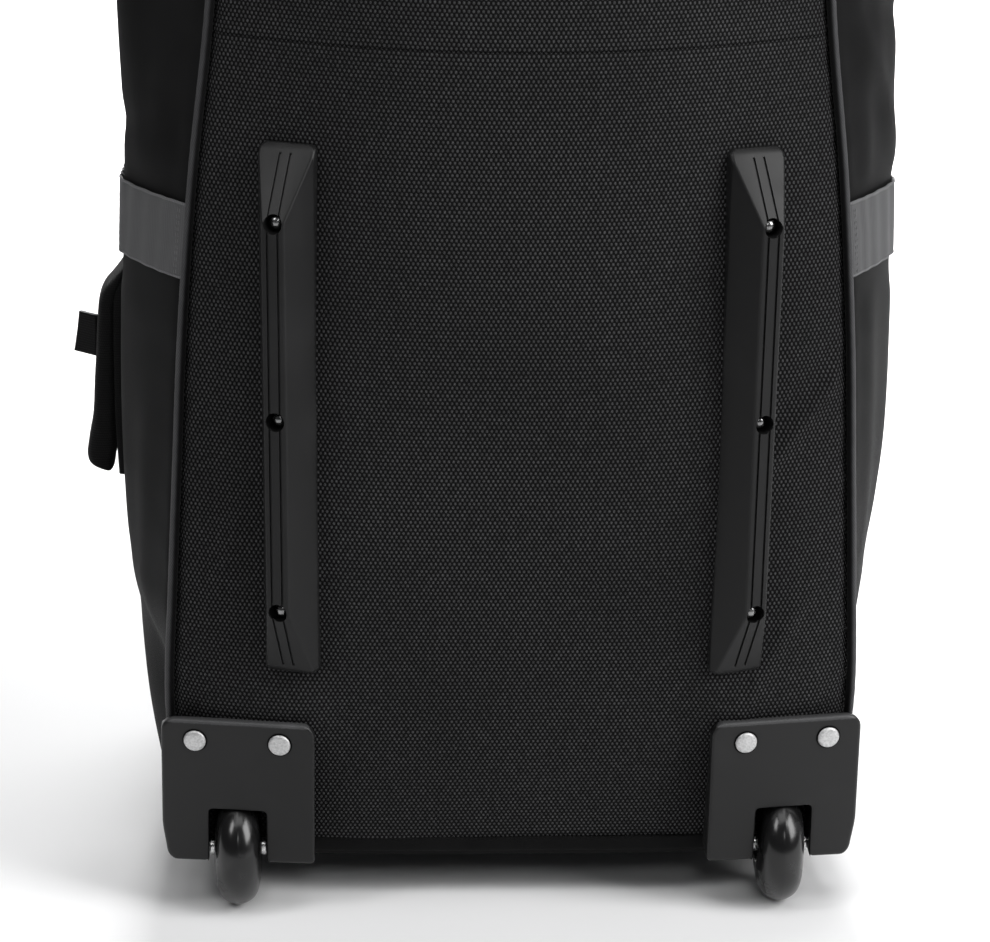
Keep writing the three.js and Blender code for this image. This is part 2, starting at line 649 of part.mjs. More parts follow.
// Wheels and axles, turned about X
const tyreHalf = [[3.85, -9.5], [9, -9.5], [10.5, -11.9], [19.7, -10.8], [24.8, -9.2], [28.5, -5.3]];
const tyreBack = [...tyreHalf].reverse().map(([r, along]) => [r, -along]);
const tyreProfile = [...tyreHalf, [WHEEL_RADIUS, 0], ...tyreBack, tyreHalf[0]];
const collarEnd = SLOT_HALF - GAP;
const axleHalf = [[0, -17.2], [AXLE_RADIUS, -17.2], [AXLE_RADIUS, -collarEnd], [COLLAR_RADIUS, -collarEnd]];
axleHalf.push([COLLAR_RADIUS, -9.8], [AXLE_RADIUS, -9.8]);
const axleProfile = [...axleHalf, ...[...axleHalf].reverse().map(([r, along]) => [r, -along])];

function turned(profile, segments) {
  const points = profile.map(([r, along]) => new THREE.Vector2(r, along));
  return new THREE.LatheGeometry(points, segments).rotateZ(-Math.PI / 2);
}

for (const [name, sign] of [['left', -1], ['right', 1]]) {
  const wheel = piece(`${name}_wheel`, turned(tyreProfile, 22), TYRE);
  wheel.position.set(sign * WHEEL_X, WHEEL_Y, WHEEL_RADIUS);
  const axle = piece(`${name}_axle`, turned(axleProfile, 8), METAL);
  axle.position.set(sign * WHEEL_X, WHEEL_Y, WHEEL_RADIUS);
}

// Domed rivets, lathed about Z with the flat side at 0
function rivetDome(radius, height) {
  const profile = [[0, 0], [radius, 0], [radius, height * 0.3], [radius * 0.7, height * 0.83], [0, height]];
  const points = profile.map(([r, h]) => new THREE.Vector2(r, h));
  return new THREE.LatheGeometry(points, 8).rotateX(Math.PI / 2);
}

let rivetNumber = 0;
for (const sign of [-1, 1]) {
  for (const reach of [-GUARD_RIVET_REACH, GUARD_RIVET_REACH]) {
    const dome = rivetDome(GUARD_RIVET_RADIUS, 2.2);
    dome.translate(WHEEL_X + reach, GUARD_RIVET_Z, GAP);
    rivetNumber += 1;
    piece(`guard_rivet_${rivetNumber}`, mirrored(bare(guardPlace(dome)), sign), METAL);
  }
}

// Skid rails, drawn lying with X across, Y along and Z up from the cloth, then stood up on the back
function railSection({ along, height, trim, groove }) {
  const foot = RAIL_BASE_HALF - trim;
  const top = foot - RAIL_SLOPE * Math.max(height, 1.2);
  const g0 = RAIL_GROOVE - RAIL_GROOVE_HALF;
  const g1 = RAIL_GROOVE + RAIL_GROOVE_HALF;
  const low = height - groove;
  const half = [[g0, height], [g0, low], [g1, low], [g1, height], [top - 0.8, height]];
  half.push([top + 0.3, height - 1.1], [foot, Math.min(0, height - 2)], [foot, -RAIL_SKIRT]);
  const right = half.map(([x, h]) => new THREE.Vector3(x, along, h));
  const left = half.map(([x, h]) => new THREE.Vector3(-x, along, h)).reverse();
  return [...left, ...right];
}

function railPlace(geometry, name, sign) {
  geometry.rotateZ(-RAIL_LEAN);
  geometry.rotateX(Math.PI / 2);
  geometry.rotateZ(RAIL_TILT);
  geometry.translate(RAIL_X, RAIL_BASE_Y, RAIL_Z[name]);
  return mirrored(geometry, sign);
}

let railRivet = 0;
for (const [name, sign] of [['left', -1], ['right', 1]]) {
  let bar = solid(loft(RAIL_ROWS.map(railSection), (v) => new THREE.Vector2(v.x, v.z)));
  for (const step of [-RAIL_HOLE_STEP, 0, RAIL_HOLE_STEP]) {
    const hole = new THREE.CylinderGeometry(RAIL_HOLE_RADIUS, RAIL_HOLE_RADIUS, 30, 12);
    hole.rotateX(Math.PI / 2).translate(0, step, RAIL_HOLE_FLOOR + 15);
    bar = bar.subtract(solid(hole));
    const dome = rivetDome(RAIL_RIVET_RADIUS, 3.2).translate(0, step, RAIL_HOLE_FLOOR + GAP);
    railRivet += 1;
    piece(`rail_rivet_${railRivet}`, railPlace(bare(dome), name, sign), METAL);
  }
  const stood = solid(railPlace(geometryOf(bar), name, sign)).subtract(backFit);
  piece(`${name}_skid_rail`, geometryOf(stood), PLASTIC);
}

// Plain front feet
for (const [name, sign] of [['left', -1], ['right', 1]]) {
  const outline = roundedOutline(-24, 24, -14, 14, 6);
  const options = { depth: FOOT_TOP, bevelEnabled: false, curveSegments: 2 };
  const foot = new THREE.ExtrudeGeometry(outline, options);
  foot.translate(sign * FOOT_X, FOOT_Y, 0);
  piece(`${name}_front_foot`, foot, PLASTIC);
}

export default root;
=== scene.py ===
# %% [markdown]
# A wheeled golf travel bag, seen from the back, with the rails that it slides on over steps and kerbs.
# Every piece below is a surface worked out with numpy: a grid of points from a formula in two numbers,
# or a profile carried along a path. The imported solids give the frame, and these surfaces dress it.

# %% Load the frame
import bmesh
import bpy
import numpy as np
from mathutils import Matrix


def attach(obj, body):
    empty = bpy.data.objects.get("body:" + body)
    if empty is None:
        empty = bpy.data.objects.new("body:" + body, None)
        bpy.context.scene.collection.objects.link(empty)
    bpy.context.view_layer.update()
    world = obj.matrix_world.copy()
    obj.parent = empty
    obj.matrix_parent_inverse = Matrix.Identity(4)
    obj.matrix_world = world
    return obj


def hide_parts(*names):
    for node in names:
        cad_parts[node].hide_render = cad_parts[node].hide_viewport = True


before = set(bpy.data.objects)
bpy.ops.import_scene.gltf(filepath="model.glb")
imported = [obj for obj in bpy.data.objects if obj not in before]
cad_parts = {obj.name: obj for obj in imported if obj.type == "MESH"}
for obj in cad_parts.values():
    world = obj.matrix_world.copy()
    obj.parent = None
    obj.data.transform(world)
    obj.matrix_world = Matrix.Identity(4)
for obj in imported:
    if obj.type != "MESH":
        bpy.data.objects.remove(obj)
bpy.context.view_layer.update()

# %% [markdown]
# The photograph looks at the lower third of the back from standing height, through a long lens.
# A camera could be turned by eye, but here its turn is given by three angles that were fitted to the
# wheels, rivets, rails and piping: down, sideways and a slight roll.

# %% The camera
PITCH_DOWN = 0.3268
YAW_RIGHT = 0.0538
ROLL = 0.0153
FOCAL_PIXELS = 3961
IMAGE_WIDTH = 990
SENSOR = 36
CAMERA_SPOT = (-0.0971, -1.9733, 0.8616)


def stand_at(thing, axes, spot):
    """Puts a camera or lamp at a spot, turned so that its right, up and back are three given axes."""
    turn = np.eye(4)
    turn[:3, :3] = np.stack(axes, axis=1)
    turn[:3, 3] = spot
    thing.matrix_world = Matrix(turn.tolist())
    bpy.context.collection.objects.link(thing)


level = np.array([np.cos(YAW_RIGHT), -np.sin(YAW_RIGHT), 0])
forward = np.array([np.sin(YAW_RIGHT), np.cos(YAW_RIGHT), 0])
ahead = forward * np.cos(PITCH_DOWN) - [0, 0, np.sin(PITCH_DOWN)]
upright = np.cross(level, ahead)
right = level * np.cos(ROLL) + upright * np.sin(ROLL)
up = upright * np.cos(ROLL) - level * np.sin(ROLL)

camera = bpy.data.objects.new("camera", bpy.data.cameras.new("camera"))
camera.data.sensor_width = SENSOR
camera.data.lens = FOCAL_PIXELS / IMAGE_WIDTH * SENSOR
stand_at(camera, [right, up, -ahead], CAMERA_SPOT)
bpy.context.scene.camera = camera
print("lens", round(camera.data.lens, 1), "mm")

# %% [markdown]
# Nearly every piece is a grid of points turned into four-sided faces. These helpers join one or more such
# grids into a mesh, merge the points where a tube closes on itself, turn the faces outward and lay the
# cloth's own measure, in metres, into a UV map, so that a weave can follow the surface.

# %% From grids of points to a mesh
MM = 0.001
SHIFT = np.array([13.0, -150.0, 0.0])
BAG_MIDDLE = (0, 140, 500)
CLOTH_MAP = "cloth_metres"
MERGE = 2e-6


def run_along(points, axis=0):
    """Distance along lines of points, from 0 at each start: the lengths of the steps added up."""
    steps = np.linalg.norm(np.diff(points, axis=axis), axis=-1)
    start = np.zeros_like(np.take(steps, [0], axis))
    return np.concatenate([start, np.cumsum(steps, axis=axis)], axis=axis)


def unit(vectors):
    """Vectors shortened or stretched to the length 1."""
    return vectors / np.linalg.norm(vectors, axis=-1, keepdims=True)


def measured(points):
    """UV in metres for a grid: v adds up steps down the middle column, u adds up steps across from it."""
    middle = points.shape[1] // 2
    across = run_along(points, axis=1)
    down = np.repeat(run_along(points[:, middle])[:, None], points.shape[1], 1)
    return np.stack([across - across[:, middle:middle + 1], down], axis=2) * MM


def grids_to_mesh(name, grids, inside):
    """One mesh through grids of points in bag millimetres, with faces turned away from the point inside."""
    corners = []
    start = 0
    for points in grids:
        rows, columns = points.shape[:2]
        index = start + np.arange(rows * columns).reshape(rows, columns)
        square = [index[:-1, :-1], index[:-1, 1:], index[1:, 1:], index[1:, :-1]]
        corners.append(np.stack(square, axis=-1).reshape(-1, 4))
        start += rows * columns
    corners = np.concatenate(corners)
    places = (np.concatenate([points.reshape(-1, 3) for points in grids]) + SHIFT) * MM
    uv = np.concatenate([measured(points).reshape(-1, 2) for points in grids])
    mesh = bpy.data.meshes.new(name)
    mesh.vertices.add(len(places))
    mesh.vertices.foreach_set("co", places.ravel())
    mesh.loops.add(corners.size)
    mesh.loops.foreach_set("vertex_index", corners.ravel())
    mesh.polygons.add(len(corners))
    mesh.polygons.foreach_set("loop_start", np.arange(0, corners.size, 4))
    mesh.update(calc_edges=True)
    mesh.uv_layers.new(name=CLOTH_MAP).uv.foreach_set("vector", uv[corners.ravel()].ravel())
    work = bmesh.new()
    work.from_mesh(mesh)
    bmesh.ops.remove_doubles(work, verts=work.verts, dist=MERGE)
    bmesh.ops.recalc_face_normals(work, faces=work.faces)
    work.to_mesh(mesh)
    work.free()
    facing = np.zeros((len(mesh.polygons), 3))
    centre = np.zeros((len(mesh.polygons), 3))
    size = np.zeros(len(mesh.polygons))
    mesh.polygons.foreach_get("normal", facing.ravel())
    mesh.polygons.foreach_get("center", centre.ravel())
    mesh.polygons.foreach_get("area", size)
    outward = (facing * (centre - (np.array(inside) + SHIFT) * MM)).sum(axis=1)
    if (outward * size).sum() < 0:
        mesh.flip_normals()
    return mesh


# %% [markdown]
# A piece is such a mesh with its material. It also says which packed solids it stands for and which
# body it rides on. Cloth panels are sheets with a thickness, and their flat size is measured on the finished
# surface.

# %% From a mesh to a piece
SIDES = [("left", -1), ("right", 1)]


def make(name, grids, finish, nodes=(), body="bag", inside=BAG_MIDDLE, sharp=None):
    """A finished piece: mesh, material, the solids it stands for, the body it rides on."""
    mesh = grids_to_mesh(name, grids, inside)
    mesh.shade_smooth()
    if sharp is not None:
        mesh.set_sharp_from_angle(angle=np.radians(sharp))
    mesh.materials.append(finish)
    piece = bpy.data.objects.new(name, mesh)
    bpy.context.collection.objects.link(piece)
    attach(piece, body)
    if nodes:
        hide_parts(*nodes)
    print(name, len(mesh.polygons), "faces")
    return piece


def wall(piece, thickness):
    """Gives a sheet its thickness, inward from the shown face."""
    solidify = piece.modifiers.new("thickness", "SOLIDIFY")
    solidify.thickness = thickness * MM
    solidify.offset = -1


def cut_size(points):
    """Flat width, length and area, in metres, of the cloth that a grid of points needs."""
    uv = measured(points)
    width = np.ptp(uv[..., 0], axis=1).max()
    length = np.ptp(uv[..., 1])
    slants = np.cross(points[1:, 1:] - points[:-1, :-1], points[1:, :-1] - points[:-1, 1:])
    area = np.linalg.norm(slants, axis=2).sum() / 2 * MM ** 2
    return float(width), float(length), float(min(area, width * length))


def sew(name, points, finish, node, thickness, cut):
    """A panel stretched between cords: a sheet through points, its flat size taken from the grid cut."""
    panel = make(name, [points], finish, [node])
    wall(panel, thickness)
    width, length, area = cut_size(cut)
    print(name, "is cut", round(width, 3), "by", round(length, 3), "m")


# %% [markdown]
# A material is a small network of shader nodes. These helpers add a node, fill its inputs and do sums, so
# that a weave or a grain can be written as a few lines of formula. A link knows its own network, so a sum
# goes where its first link is. All patterns sit on the object's own metres or on the cloth's own measure,
# never on the view.

# %% Small helpers for shader nodes
def plug(socket, value):
    """Links a socket to another one, or sets it to a plain value."""
    if isinstance(value, bpy.types.NodeSocket):
        socket.id_data.links.new(value, socket)
    else:
        socket.default_value = value


def add(tree, kind, **settings):
    """A new shader node with some of its settings."""
    made = tree.nodes.new(kind)
    for key, value in settings.items():
        setattr(made, key, value)
    return made


def feed(made, **inputs):
    """Fills a node's inputs, by name with _ for a space, with links or plain values."""
    for key, value in inputs.items():
        plug(made.inputs[key.replace("_", " ")], value)
    return made


def calc(operation, first, second=0.0):
    """One sum of a link with a number or another link."""
    made = add(first.id_data, "ShaderNodeMath", operation=operation)
    for socket, value in zip(made.inputs, (first, second)):
        plug(socket, value)
    return made.outputs[0]


def times(first, second):
    """The product of a link and a number or another link."""
    return calc("MULTIPLY", first, second)


def ramp(value, low, high, to_low=0.0, to_high=1.0):
    """A smooth step of a value from one range to another."""
    made = add(value.id_data, "ShaderNodeMapRange", interpolation_type="SMOOTHSTEP")
    feed(made, Value=value, From_Min=low, From_Max=high, To_Min=to_low, To_Max=to_high)
    return made.outputs["Result"]


def spread(share, low, high):
    """A number that goes smoothly from low to high as a share goes from 0 to 1."""
    return ramp(share, 0.0, 1.0, low, high)


def object_metres(tree):
    """The object's own place in metres."""
    return add(tree, "ShaderNodeTexCoord").outputs["Object"]


def noise(tree, scale, detail=3.0):
    """Noise in the object's own metres."""
    made = add(tree, "ShaderNodeTexNoise")
    feed(made, Vector=object_metres(tree), Scale=scale, Detail=detail)
    return made.outputs["Fac"]


def cloth_axes(tree):
    """The cloth's own two measures, across and along, in metres."""
    spot = add(tree, "ShaderNodeUVMap", uv_map=CLOTH_MAP).outputs["UV"]
    split = feed(add(tree, "ShaderNodeSeparateXYZ"), Vector=spot)
    return split.outputs["X"], split.outputs["Y"]


def wave(value, length):
    """Cosine of a measure with one crest every length of metres."""
    return calc("COSINE", times(value, 2 * np.pi / length))


def blend(share, dark, light, blue=1.03):
    """A grey between two by a share from 0 to 1, with its blue a little above its red and green."""
    made = add(share.id_data, "ShaderNodeMix", data_type="RGBA")
    plug(made.inputs["Factor"], share)
    sockets = [socket for socket in made.inputs if socket.type == "RGBA"]
    for socket, grey in zip(sockets, (dark, light)):
        socket.default_value = (grey, grey, grey * blue, 1)
    return [socket for socket in made.outputs if socket.type == "RGBA"][0]


def relief(height, distance, strength=1.0):
    """A bump from a height of 0 to 1 that stands for so many millimetres."""
    made = add(height.id_data, "ShaderNodeBump")
    feed(made, Height=height, Distance=distance * MM, Strength=strength)
    return made.outputs["Normal"]


def new_finish(name, specular=0.5, metallic=0.0, sheen=0.0):
    """A material, its node tree and its shader, with the values that are the same all over."""
    print("finish", name)
    finish = bpy.data.materials.new(name)
    finish.use_nodes = True
    shader = finish.node_tree.nodes["Principled BSDF"]
    shader.inputs["Specular IOR Level"].default_value = specular
    shader.inputs["Metallic"].default_value = metallic
    shader.inputs["Sheen Weight"].default_value = sheen
    return finish, finish.node_tree, shader


# %% [markdown]
# The floor is one pale sheet that fills the picture. The light is soft and mostly from the right and above:
# the right hand webbing is the brighter one in the photograph, the rails' upward slopes shine and the wheels
# carry tall reflections. Large area lamps give all three. One more whitens the floor behind the bag, and
# a weak one lights its front, which this picture doesn't show.

# %% Floor, sky and lamps
FLOOR_HALF = 9000
FLOOR_LEVEL = -0.2
SKY_STRENGTH = 0.08

floor_finish, tree, shader = new_finish("pale_floor", specular=0.2)
feed(shader, Base_Color=blend(noise(tree, 3.0), 0.86, 0.9, blue=1.005), Roughness=0.7)
span = np.linspace(-FLOOR_HALF, FLOOR_HALF, 13)
floor_points = np.stack([*np.meshgrid(span, span), np.full((13, 13), FLOOR_LEVEL)], axis=2)
floor_mesh = grids_to_mesh("floor", [floor_points], (0, 0, -1000))
floor_mesh.materials.append(floor_finish)
floor = bpy.data.objects.new("floor", floor_mesh)
bpy.context.collection.objects.link(floor)

sky = bpy.data.worlds.new("studio")
sky.use_nodes = True
background = sky.node_tree.nodes["Background"]
background.inputs["Color"].default_value = (0.96, 0.97, 1.0, 1)
background.inputs["Strength"].default_value = SKY_STRENGTH
bpy.context.scene.world = sky
bpy.context.scene.view_settings.view_transform = "Standard"


def lamp(name, spot, target, size, watts, spread_degrees=180):
    """A large rectangular lamp that looks at a point and lights a cone of so many degrees."""
    made = bpy.data.objects.new(name, bpy.data.lights.new(name, "AREA"))
    made.data.shape = "RECTANGLE"
    made.data.size = size[0]
    made.data.size_y = size[1]
    made.data.energy = watts
    made.data.spread = np.radians(spread_degrees)
    back = unit(np.array(spot) - np.array(target))
    side = unit(np.cross((0, 0, 1), back))
    stand_at(made, [side, np.cross(back, side), back], spot)


BACK_MIDDLE = (0, -0.1, 0.3)
lamp("right_lamp", (2.1, -1.2, 1.75), BACK_MIDDLE, (1.3, 1.8), 66)
lamp("left_lamp", (-1.7, -1.25, 2.2), BACK_MIDDLE, (0.6, 1.1), 17)
lamp("top_lamp", (0.1, -1.0, 3.2), BACK_MIDDLE, (2.8, 1.6), 32)
lamp("front_lamp", (0.15, -2.5, 1.7), (0, 0, 0.3), (0.5, 0.5), 5)
lamp("far_lamp", (0.5, 1.95, 2.6), (0.5, 2.05, 0), (1.6, 2.9), 66, 62)
lamp("fill_lamp", (0.05, 2.3, 1.25), (0, 0.1, 0.85), (0.5, 1.2), 9, 34)
print("floor, sky and 6 lamps")

# %% [markdown]
# The back is ballistic cloth: thick yarns in a basket weave whose humps catch the light as rows of dots,
# every second row shifted by half a dot. Two cosines multiplied give just that lattice of dots, a third one
# darkens the gaps between the rows as painted shade, and it is laid on the cloth's own measure so that it
# bends with the panel. The humps are also painted paler, a painted highlight on top of their bump and gloss.
# Noise makes the yarns uneven.

# %% Ballistic cloth
DOT_ACROSS = 0.00229
ROW_APART = 0.0020
ROW_SHARE = 0.3
ballistic, tree, shader = new_finish("ballistic_weave")
across, along = cloth_axes(tree)
staggered = times(wave(across, DOT_ACROSS), wave(along, 2 * ROW_APART))
lattice = calc("ADD", staggered, times(wave(along, ROW_APART), ROW_SHARE))
humps = ramp(lattice, -0.6, 1.1)
yarn = ramp(noise(tree, 420.0, 2.0), 0.3, 0.75, 0.45, 1.0)
patch = ramp(noise(tree, 9.0), 0.3, 0.7, 0.75, 1.0)
# Painted highlight and shade: the base colour is paler on the humps and darker in the gaps between rows.
shine = times(times(humps, yarn), patch)
feed(shader, Base_Color=blend(shine, 0.0044, 0.062),
     Specular_IOR_Level=spread(humps, 0.05, 0.22),
     Roughness=spread(humps, 0.8, 0.5), Normal=relief(humps, 0.35))
print("dots", DOT_ACROSS * 1000, "mm apart, rows", ROW_APART * 1000, "mm")

# %% [markdown]
# The sides, the top and the front are a smoother polyester with a fine plain weave. Close up the threads
# cross every third of a millimetre, and from further off only a soft sheen and a slight unevenness is left.

# %% Side cloth
THREAD = 0.00066


def smooth_cloth(name, dark, light, specular):
    """Plain weave: two crossing cosines of threads, with a slow mottle in its tone."""
    finish, tree, shader = new_finish(name, specular=specular, sheen=0.025)
    shader.inputs["Sheen Roughness"].default_value = 0.45
    across, along = cloth_axes(tree)
    fine = ramp(times(wave(across, THREAD), wave(along, THREAD)), -1.0, 1.0)
    mottle = ramp(noise(tree, 35.0, 5.0), 0.3, 0.7)
    feed(shader, Base_Color=blend(mottle, dark, light),
         Roughness=spread(fine, 0.72, 0.58), Normal=relief(fine, 0.06))
    return finish


side_cloth = smooth_cloth("smooth_polyester", 0.0052, 0.0082, 0.08)
hem_cloth = smooth_cloth("hem_binding", 0.0032, 0.0052, 0.06)

# %% [markdown]
# Piping is a round cord in a folded strip of cloth, sewn into the seam. Its cover is a fine twill, so the
# pattern is a set of slanting lines on the cord's own measure. The outer side is painted a paler grey, a
# painted highlight, and painted shade keeps it black where it goes down into the seam.

# %% Piping cover
TWILL = 0.0011
TWILL_SLANT = 0.6
piping_cover, tree, shader = new_finish("piping_cover", sheen=0.05)
across, along = cloth_axes(tree)
slant = calc("ADD", across, times(along, TWILL_SLANT))
twill = ramp(wave(slant, TWILL), -1.0, 1.0)
worn = ramp(noise(tree, 60.0, 4.0), 0.3, 0.7)
mixed = times(twill, spread(worn, 0.55, 1.0))
# Painted light: the outer side is painted paler as a highlight and the part going into the seam dark as
# shade.
painted_lit_side = ramp(calc("ABSOLUTE", across), 0.0022, 0.0046, 1.0, 0.0)
lit = times(spread(mixed, 0.55, 1.0), painted_lit_side)
feed(shader, Base_Color=blend(lit, 0.004, 0.055, blue=1.055),
     Specular_IOR_Level=spread(painted_lit_side, 0.05, 0.3),
     Roughness=spread(twill, 0.7, 0.55), Normal=relief(twill, 0.08))

# %% [markdown]
# Webbing is woven as a narrow strap: fine ribs run across it and every rib is crossed by threads, shifted
# by half from rib to rib. One function makes it in any grey, for the bands and the black handle parts.

# %% Webbing
RIB = 0.0013
WEFT = 0.0011


def webbing(name, dark, light, specular, deep, sheen):
    """Ribbed strap: cosine ribs in a row, crossed by cosine threads that shift by half from rib to rib."""
    finish, tree, shader = new_finish(name, specular=specular, sheen=sheen)
    across, along = cloth_axes(tree)
    ribs = times(wave(along, RIB), 0.6)
    wefts = times(times(wave(along, 2 * RIB), wave(across, WEFT)), 0.5)
    height = ramp(calc("ADD", ribs, wefts), -1.0, 1.0)
    tone = times(height, ramp(noise(tree, 130.0, 4.0), 0.25, 0.75, 0.6, 1.0))
    feed(shader, Base_Color=blend(tone, dark, light),
         Roughness=spread(height, 0.85, 0.65), Normal=relief(height, deep))
    return finish


grey_webbing = webbing("grey_webbing_weave", 0.072, 0.1, 0.15, 0.05, 0.08)
pale_edge = webbing("pale_selvedge", 0.11, 0.165, 0.15, 0.05, 0.08)
black_webbing = webbing("black_webbing_weave", 0.002, 0.0065, 0.1, 0.15, 0.03)

# %% [markdown]
# The guards and rails are moulded plastic with a satin face: a fine grain from the mould, and here and
# there a faint rub mark. The tyre is a glossier rubber, and the rivets, screws and axles are plain metal.

# %% Plastic, rubber and metal
def satin_face(tree, shader):
    """Fills in the gloss of moulded plastic, from a fine grain and rub marks, and gives the marks back."""
    rubs = ramp(noise(tree, 28.0, 6.0), 0.45, 0.75)
    feed(shader, Roughness=spread(rubs, 0.42, 0.5),
         Normal=relief(noise(tree, 2600.0, 2.0), 0.02, 0.6))
    return rubs


def satin(name, dark, light, specular):
    """Satin moulded plastic whose rub marks are a little lighter."""
    finish, tree, shader = new_finish(name, specular=specular)
    rubs = satin_face(tree, shader)
    feed(shader, Base_Color=blend(rubs, dark, light))
    return finish


def metal(name, dark, light, smooth, grain=900.0):
    """Bare metal with fine marks in its tone and gloss."""
    finish, tree, shader = new_finish(name, metallic=1.0)
    marks = ramp(noise(tree, grain, 5.0), 0.3, 0.7)
    feed(shader, Base_Color=blend(marks, dark, light, blue=1.0),
         Roughness=spread(marks, smooth, smooth + 0.15), Normal=relief(marks, 0.01, 0.5))
    return finish


satin_plastic = satin("satin_plastic", 0.0075, 0.0112, 0.26)
base_board = satin("base_board", 0.003, 0.005, 0.08)
rivet_metal = metal("rivet_metal", 0.5, 0.72, 0.5)
axle_metal = metal("axle_metal", 0.62, 0.78, 0.18)
screw_metal = metal("screw_metal", 0.2, 0.28, 0.12, 70.0)

tyre_rubber, tree, shader = new_finish("tyre_rubber")
dust = ramp(noise(tree, 90.0, 6.0), 0.45, 0.8)
feed(shader, Base_Color=blend(dust, 0.006, 0.016), Roughness=spread(dust, 0.2, 0.36),
     Normal=relief(noise(tree, 700.0, 2.0), 0.01, 0.5))

# %% [markdown]
# The body is wide and boxy at the wheels and slims into a rounded tube higher up. A short table gives, for
# a dozen heights, where the piping runs and how far each wall swells, and smooth curves join its rows. All
# the cloth, the cords and what is sewn on are then measured from this one shape.

# %% The body's table
# Columns: height, piping half width, piping depth, back swell, boxiness, left swell, right swell,
# front half width, front depth, front swell
BODY_TABLE = np.array([
    [20, 169.5, 53.0, 18.0, 4.00, 13.0, 13.0, 150, 284, 12],
    [75, 170.8, 39.5, 19.0, 3.90, 21.0, 15.0, 150, 284, 15],
    [117, 172.4, 34.5, 22.0, 3.60, 23.6, 17.0, 150, 282, 18],
    [170, 170.2, 32.0, 26.0, 3.00, 26.9, 19.0, 150, 279, 21],
    [230, 167.5, 32.5, 30.5, 2.60, 31.9, 26.9, 150, 276, 25],
    [300, 164.3, 35.0, 35.0, 2.40, 34.8, 30.3, 149, 272, 28],
    [380, 158.4, 40.0, 40.0, 2.25, 38.0, 34.1, 147, 269, 32],
    [460, 149.7, 45.0, 45.0, 2.10, 47.6, 42.0, 144, 267, 35],
    [560, 143.0, 48.0, 48.0, 2.00, 51.0, 49.0, 141, 266, 37],
    [800, 140.0, 49.0, 49.0, 2.00, 53.0, 53.0, 139, 266, 38],
    [1135, 138.0, 50.0, 46.0, 2.00, 51.0, 51.0, 138, 265, 36],
    [1300, 138.0, 52.0, 40.0, 2.00, 46.0, 46.0, 138, 263, 30],
])
HEIGHTS = BODY_TABLE[:, 0]
FIGURES = BODY_TABLE[:, 1:]
STEEPNESS = np.empty_like(FIGURES)
STEEPNESS[1:-1] = (FIGURES[2:] - FIGURES[:-2]) / (HEIGHTS[2:] - HEIGHTS[:-2])[:, None]
STEEPNESS[0] = (FIGURES[1] - FIGURES[0]) / (HEIGHTS[1] - HEIGHTS[0])
STEEPNESS[-1] = (FIGURES[-1] - FIGURES[-2]) / (HEIGHTS[-1] - HEIGHTS[-2])
PIPE, DEPTH, BACK, BOXY, LEFT, RIGHT, FRONT, FAR, BELLY = range(9)


def cubic(t, gap, start, start_slope, end, end_slope):
    """Cubic over a gap, by a share t from 0 to 1, that keeps the values and slopes at both ends."""
    from_start = (2 * t ** 3 - 3 * t ** 2 + 1) * start + (t ** 3 - 2 * t ** 2 + t) * gap * start_slope
    from_end = (3 * t ** 2 - 2 * t ** 3) * end + (t ** 3 - t ** 2) * gap * end_slope
    return from_start + from_end


def body_at(z):
    """The table's figures at any heights, by cubics from row to row."""
    z = np.asarray(z, float)
    row = np.clip(np.searchsorted(HEIGHTS, z) - 1, 0, len(HEIGHTS) - 2)
    gap = (HEIGHTS[row + 1] - HEIGHTS[row])[..., None]
    t = np.clip((z - HEIGHTS[row])[..., None] / gap, 0, 1)
    figures = cubic(t, gap, FIGURES[row], STEEPNESS[row], FIGURES[row + 1], STEEPNESS[row + 1])
    return np.moveaxis(figures, -1, 0)


def smooth_step(value, low, high):
    """0 below low, 1 above high, and an S between."""
    t = np.clip((value - low) / (high - low), 0, 1)
    return t * t * (3 - 2 * t)


def bell(value, middle, width):
    """A bell curve: 1 at its middle, falling off on both sides within about a width."""
    return np.exp(-((value - middle) / width) ** 2)


PANEL_BOTTOM = 29.4
SEAM_Z = 450.0
CORNER_Z = 1135.0
CORNER_RADIUS = 110.0
TOP_FLAT = 28.0
PIPING_TOP = CORNER_Z + CORNER_RADIUS
FADE_FROM = 980


def outline_half(z, half):
    """Half width of the back or front, with a quarter round at each top corner."""
    rise = np.clip(z - CORNER_Z, 0, CORNER_RADIUS)
    return np.where(z <= CORNER_Z, half, TOP_FLAT + np.sqrt(CORNER_RADIUS ** 2 - rise ** 2))


def top_fade(z):
    """How much of a wall's swell is left towards the top."""
    return 1 - np.clip((z - FADE_FROM) / (PIPING_TOP - FADE_FROM), 0, 1) ** 2.5


def back_depth(x, z):
    """Depth of the smooth back: the piping's depth less a swell that falls off with a power of the width."""
    row = body_at(z)
    share = np.clip(np.abs(x) / outline_half(z, row[PIPE]), 0, 1)
    return row[DEPTH] - row[BACK] * top_fade(z) * (1 - share ** row[BOXY])


print("body is", 2 * body_at(250.0)[PIPE].round(1), "mm wide at the rails")

# %% [markdown]
# Each back panel is a grid: rows go up, columns go from piping to piping. A sewn panel isn't quite smooth,
# so small moves are added to the formula. It dips into the seam beside the cord and is drawn in between the
# stitches there, the rails press on it, and it swells over the guards. A few creases are ridges along short
# lines: a bell curve across the line that fades out at both ends. The lower panel tucks under the upper one.

# %% The back panels
PIPING_RADIUS = 2.4
EDGE_INSET = 2.1
RAIL_X = 112.0
RAIL_Z = 267.8
RAIL_HALF_LENGTH = 133.0
RAIL_HALF_WIDTH = 12
GUARD_SWELL = 4.2
GUARD_SWELL_Z = 106
BACK_CLOTH = 2.0
FOLD_FADE = 22
# Columns: sideways place and height where a fold starts, the same where it ends, half width, height
BACK_FOLDS = np.array([
    [122, 236, 154, 275, 4.5, 2.2], [121, 120, 135, 149, 4.5, 1.8],
    [-140, 205, -150, 170, 6, 1.2], [126, 262, 150, 288, 5, -1.2],
])


